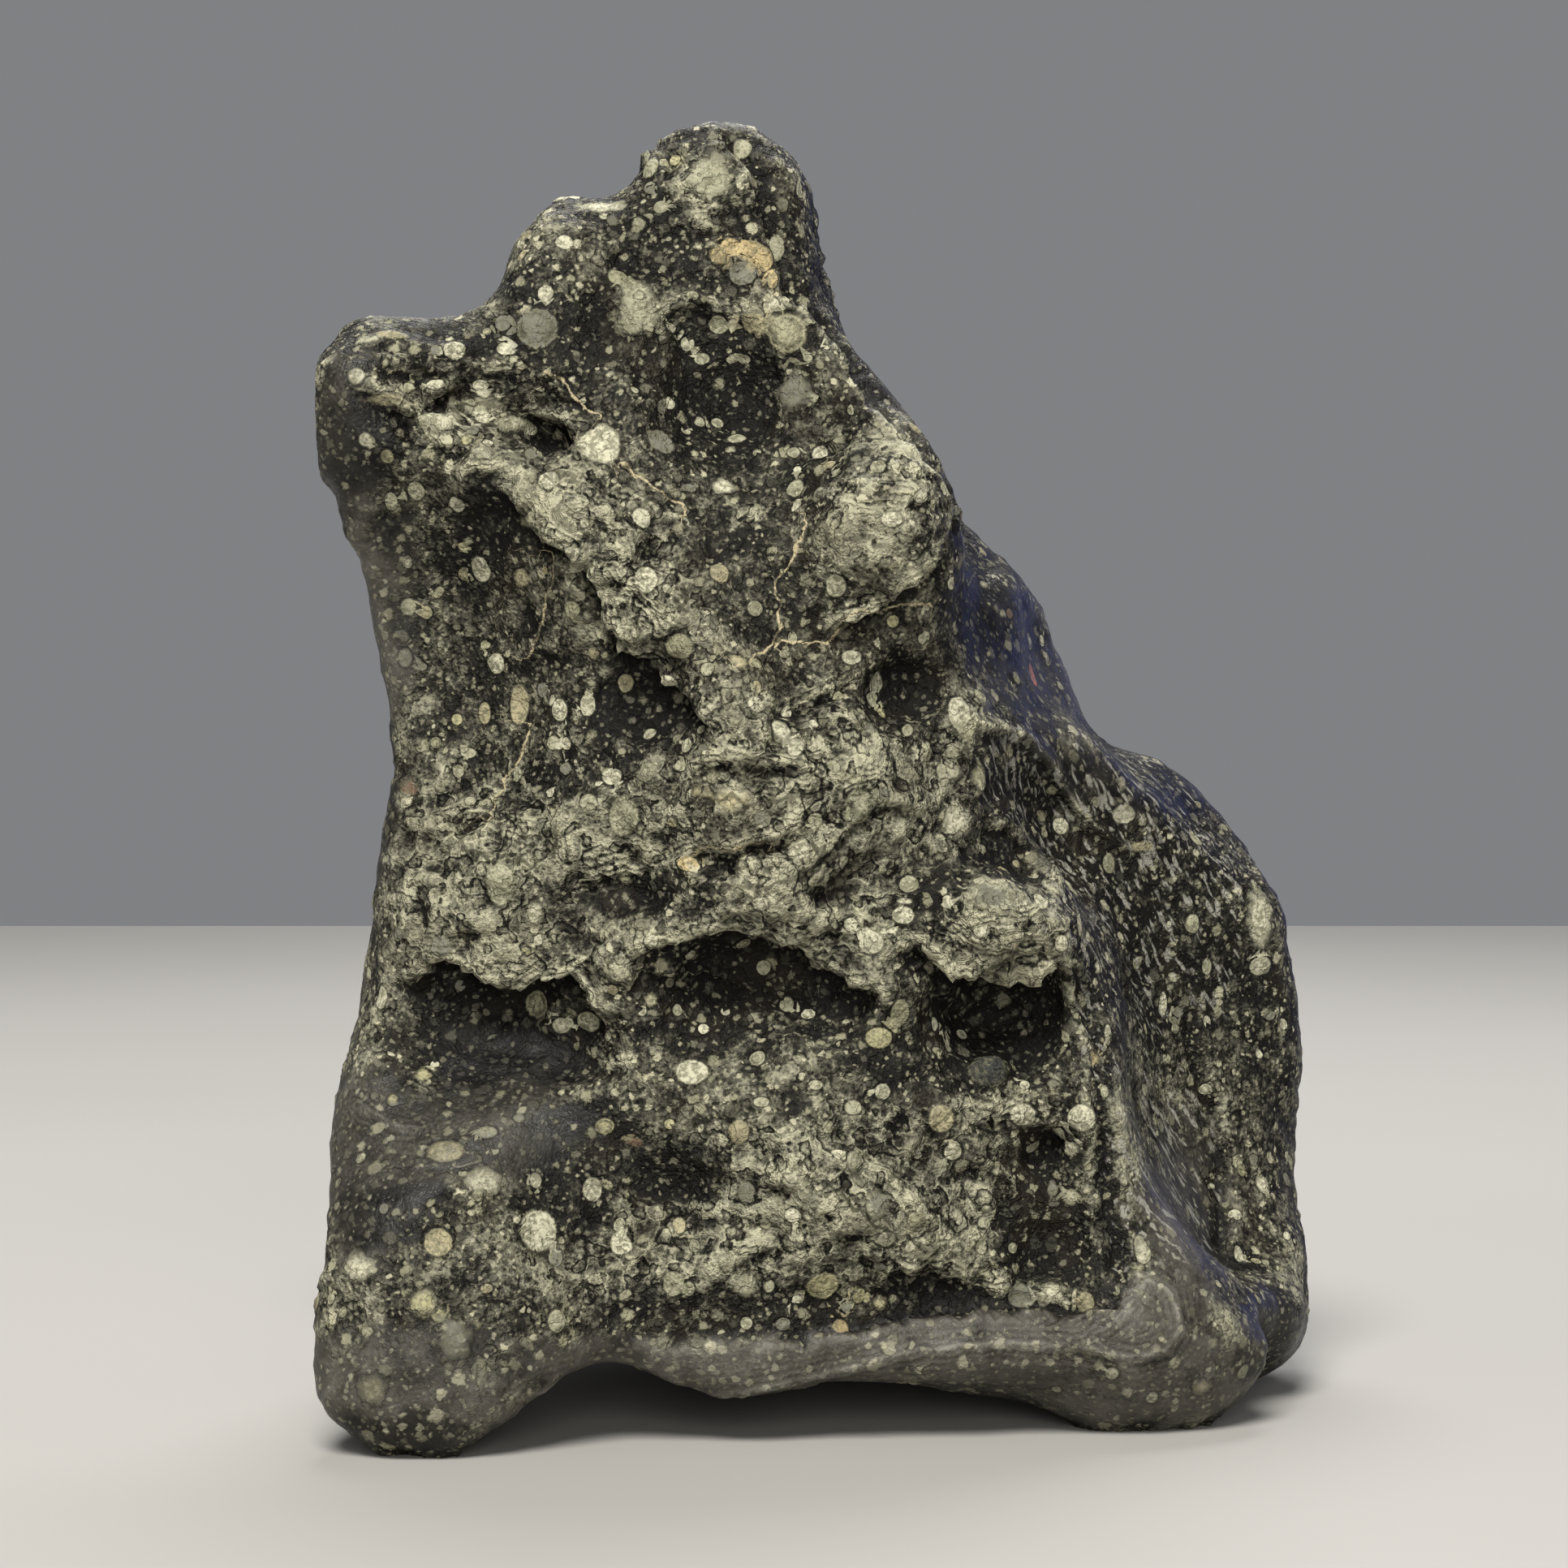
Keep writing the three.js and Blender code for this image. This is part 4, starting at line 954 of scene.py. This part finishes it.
    # granules of three sizes, crowded and uneven
    shoved = vector("ADD", millimetres, scaled(feature(UNEVENNESS, 2.0, 0.6)[1], 0.6))
    coloured = matrix
    relief = plus(times(crevice, -0.3), grain, 0.2)
    relief = plus(relief, crinkle, plus(0.25, worn, 0.8))
    relief = plus(relief, crinkled, 0.1)
    # painted shade that darkens the granules in the hollows and in the darkened places
    granule_shade = plus(times(hollow, -0.3), shade_and_dark_tone, -0.03)
    for cell, share, strength in GRANULES:
        cells = add(tree, "ShaderNodeTexVoronoi", {"Vector": shoved, "Scale": 1 / cell})
        chance = add(tree, "ShaderNodeSeparateColor", {0: cells.outputs["Color"]})
        radius = between(chance.outputs[1], 0, 1, 0.2, 0.44)
        inside = calculate("SUBTRACT", plus(radius, grain, 0.28), cells.outputs["Distance"])
        present = calculate("GREATER_THAN", chance.outputs[0], 1 - share)
        mask = times(between(inside, -0.06, 0.12), present)
        tone = ramp(plus(granule_shade, chance.outputs[2], 1.0), GRANULE_TONES)
        blended = times(mask, plus(plus(strength, polish, -0.42), worn, -0.2))
        coloured = mixed(blended, coloured, tone)
        relief = plus(relief, mask, 0.16 * cell)

    # granules drawn out along the flank
    slanted = {0: millimetres, 2: STREAK_SLANT, 3: STREAK_STRETCH}
    along = add(tree, "ShaderNodeMapping", slanted, vector_type="TEXTURE").outputs[0]
    streak = between(feature(STREAK, 1.5, 0.5, along)[0], 0.56, 0.66)
    streak = times(streak, streaked)
    coloured = mixed(times(streak, 0.75), coloured, STREAK_TONE)

    # the chondrules: mottled inside, with a thin dark rim, and some ringed
    offset = vector("DIVIDE", vector("SUBTRACT", millimetres, middle), half)
    gap = vector("LENGTH", offset, output="Value")
    # between two chondrules the kept middles blur, and the kept gap stops that from drawing a false one
    gap = calculate("MAXIMUM", gap, plus(-0.55, rough_gap, 1.0))
    uneven = plus(gap, grain, 0.35)
    uneven = plus(uneven, times(plus(crinkle, grain, 0.15), ragged), 2.4)
    softness = plus(plus(0.86, polish, -0.15), ragged, -0.35)
    body = times(between(uneven, 1.02, softness), plus(1.0, polish, -0.35))
    dark_rim = times(between(uneven, 1.3, 1.08), between(uneven, 0.92, 1.02))
    coloured = mixed(times(dark_rim, 0.45), coloured, CHONDRULE_RIM_TONE)
    ring = times(between(uneven, 0.45, 0.6), between(uneven, 0.86, 0.74))
    ring = times(ring, ringed)
    ring = times(ring, between(crinkle, 0.08, -0.06, 0.2, 1.0))
    mottle = between(plus(grain, crinkle, 0.7), -0.14, 0.12, 0.75, 0.0)
    inner = mixed(mottle, chondrule_tone, CHONDRULE_MOTTLE_TONE)
    inner = mixed(times(ring, 0.7), inner, CHONDRULE_RING_TONE)
    coloured = mixed(body, coloured, inner)
    relief = times(relief, plus(1.0, body, -0.5))
    relief = plus(relief, body, 0.06)
    relief = plus(relief, dark_rim, -0.05)

    # the seams of tan clay
    in_seam = between(unsigned(plus(seam, grain, 0.3)), 0.13, 0.04)
    in_seam = times(in_seam, between(crinkle, -0.1, 0.02, 0.15, 0.9))
    coloured = mixed(in_seam, coloured, CLAY_TONE)

    bump = add(tree, "ShaderNodeBump", {"Height": times(relief, rawness), "Distance": MM})
    # dusty in the hollows and satin where it is polished
    gloss = plus(0.66, polish, -0.2)
    gloss = plus(gloss, hollow, 0.08)
    gloss = plus(gloss, grain, 0.6)
    tree.links.new(coloured, surface.inputs["Base Color"])
    tree.links.new(calculate("MAXIMUM", gloss, 0.2), surface.inputs["Roughness"])
    tree.links.new(bump.outputs[0], surface.inputs["Normal"])
    surface.inputs["Specular IOR Level"].default_value = 0.14  # its porous skin shines little
    return finish


def matt_floor():
    """Pale matt board, a little uneven in tone."""
    finish, tree, surface = new_finish("pale matt board")
    place = add(tree, "ShaderNodeTexCoord").outputs["Object"]
    patches = {"Vector": place, "Scale": 1 / (CLOUD * MM), "Detail": 2.0}
    cloud = add(tree, "ShaderNodeTexNoise", patches).outputs[0]
    tone = add(tree, "ShaderNodeValToRGB", {0: cloud}, BOARD_TONES).outputs[0]
    tree.links.new(tone, surface.inputs["Base Color"])
    surface.inputs["Roughness"].default_value = 0.9
    surface.inputs["Specular IOR Level"].default_value = 0.1
    return finish


# ---- studio ------------------------------------------------------------------------------------------------

FLOOR_HALF_WIDTH = 490
WORLD_TONE = "#97989b"
WORLD_STRENGTH = 0.7

# Soft lights: where they stand, how wide they are, their power in watts, and their tone.
LIGHTS = [
    ("key", (-110, -600, 810), 430, 16.8, "#fffdf6"),
    ("low fill", (90, -930, 260), 480, 4.8, "#fffdf6"),
    ("overhead", (20, 260, 440), 300, 2.4, "#ffffff"),
    ("cool side", (450, 420, 150), 500, 1.0, "#5566b8"),
]


def studio():
    """The floor, the lights, the world and the camera."""
    floor_mesh = bpy.data.meshes.new("floor")
    board = bmesh.new()
    bmesh.ops.create_grid(board, x_segments=1, y_segments=1, size=FLOOR_HALF_WIDTH * MM)
    board.to_mesh(floor_mesh)
    board.free()
    floor = bpy.data.objects.new("floor", floor_mesh)
    floor_mesh.materials.append(matt_floor())
    bpy.context.scene.collection.objects.link(floor)

    middle = (Vector(CAD_BOX[0]) + Vector(CAD_BOX[1])) / 2
    for name, place, width, power, tone in LIGHTS:
        light = bpy.data.lights.new(name, "AREA")
        light.shape = "DISK"
        light.size = width * MM
        light.energy = power
        light.color = linear(tone)
        lamp = bpy.data.objects.new(name, light)
        lamp.location = Vector(place) * MM
        lamp.visible_diffuse = name != "cool side"  # that one is there only for its gloss on the right flank
        lamp.rotation_euler = (lamp.location - middle).to_track_quat("Z", "Y").to_euler()
        bpy.context.scene.collection.objects.link(lamp)

    world = bpy.data.worlds.new("studio")
    world.use_nodes = True
    background = world.node_tree.nodes["Background"]
    background.inputs["Color"].default_value = [*linear(WORLD_TONE), 1]
    background.inputs["Strength"].default_value = WORLD_STRENGTH
    bpy.context.scene.world = world
    bpy.context.scene.view_settings.view_transform = "Standard"

    lens = bpy.data.cameras.new("camera")
    lens.sensor_width = 36
    lens.lens = lens.sensor_width * VIEW_REACH / VIEW_FRAME
    lens.clip_start = 0.01
    camera = bpy.data.objects.new("camera", lens)
    camera.location = EYE * MM
    camera.rotation_euler = FORWARD.to_track_quat("-Z", "Y").to_euler()
    bpy.context.scene.collection.objects.link(camera)
    bpy.context.scene.camera = camera


# ---- the scene ---------------------------------------------------------------------------------------------

studio()
stone = carved_stone()
stone.data.materials.append(wind_polished_chondrite())
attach(stone, "root")
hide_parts("meteorite")
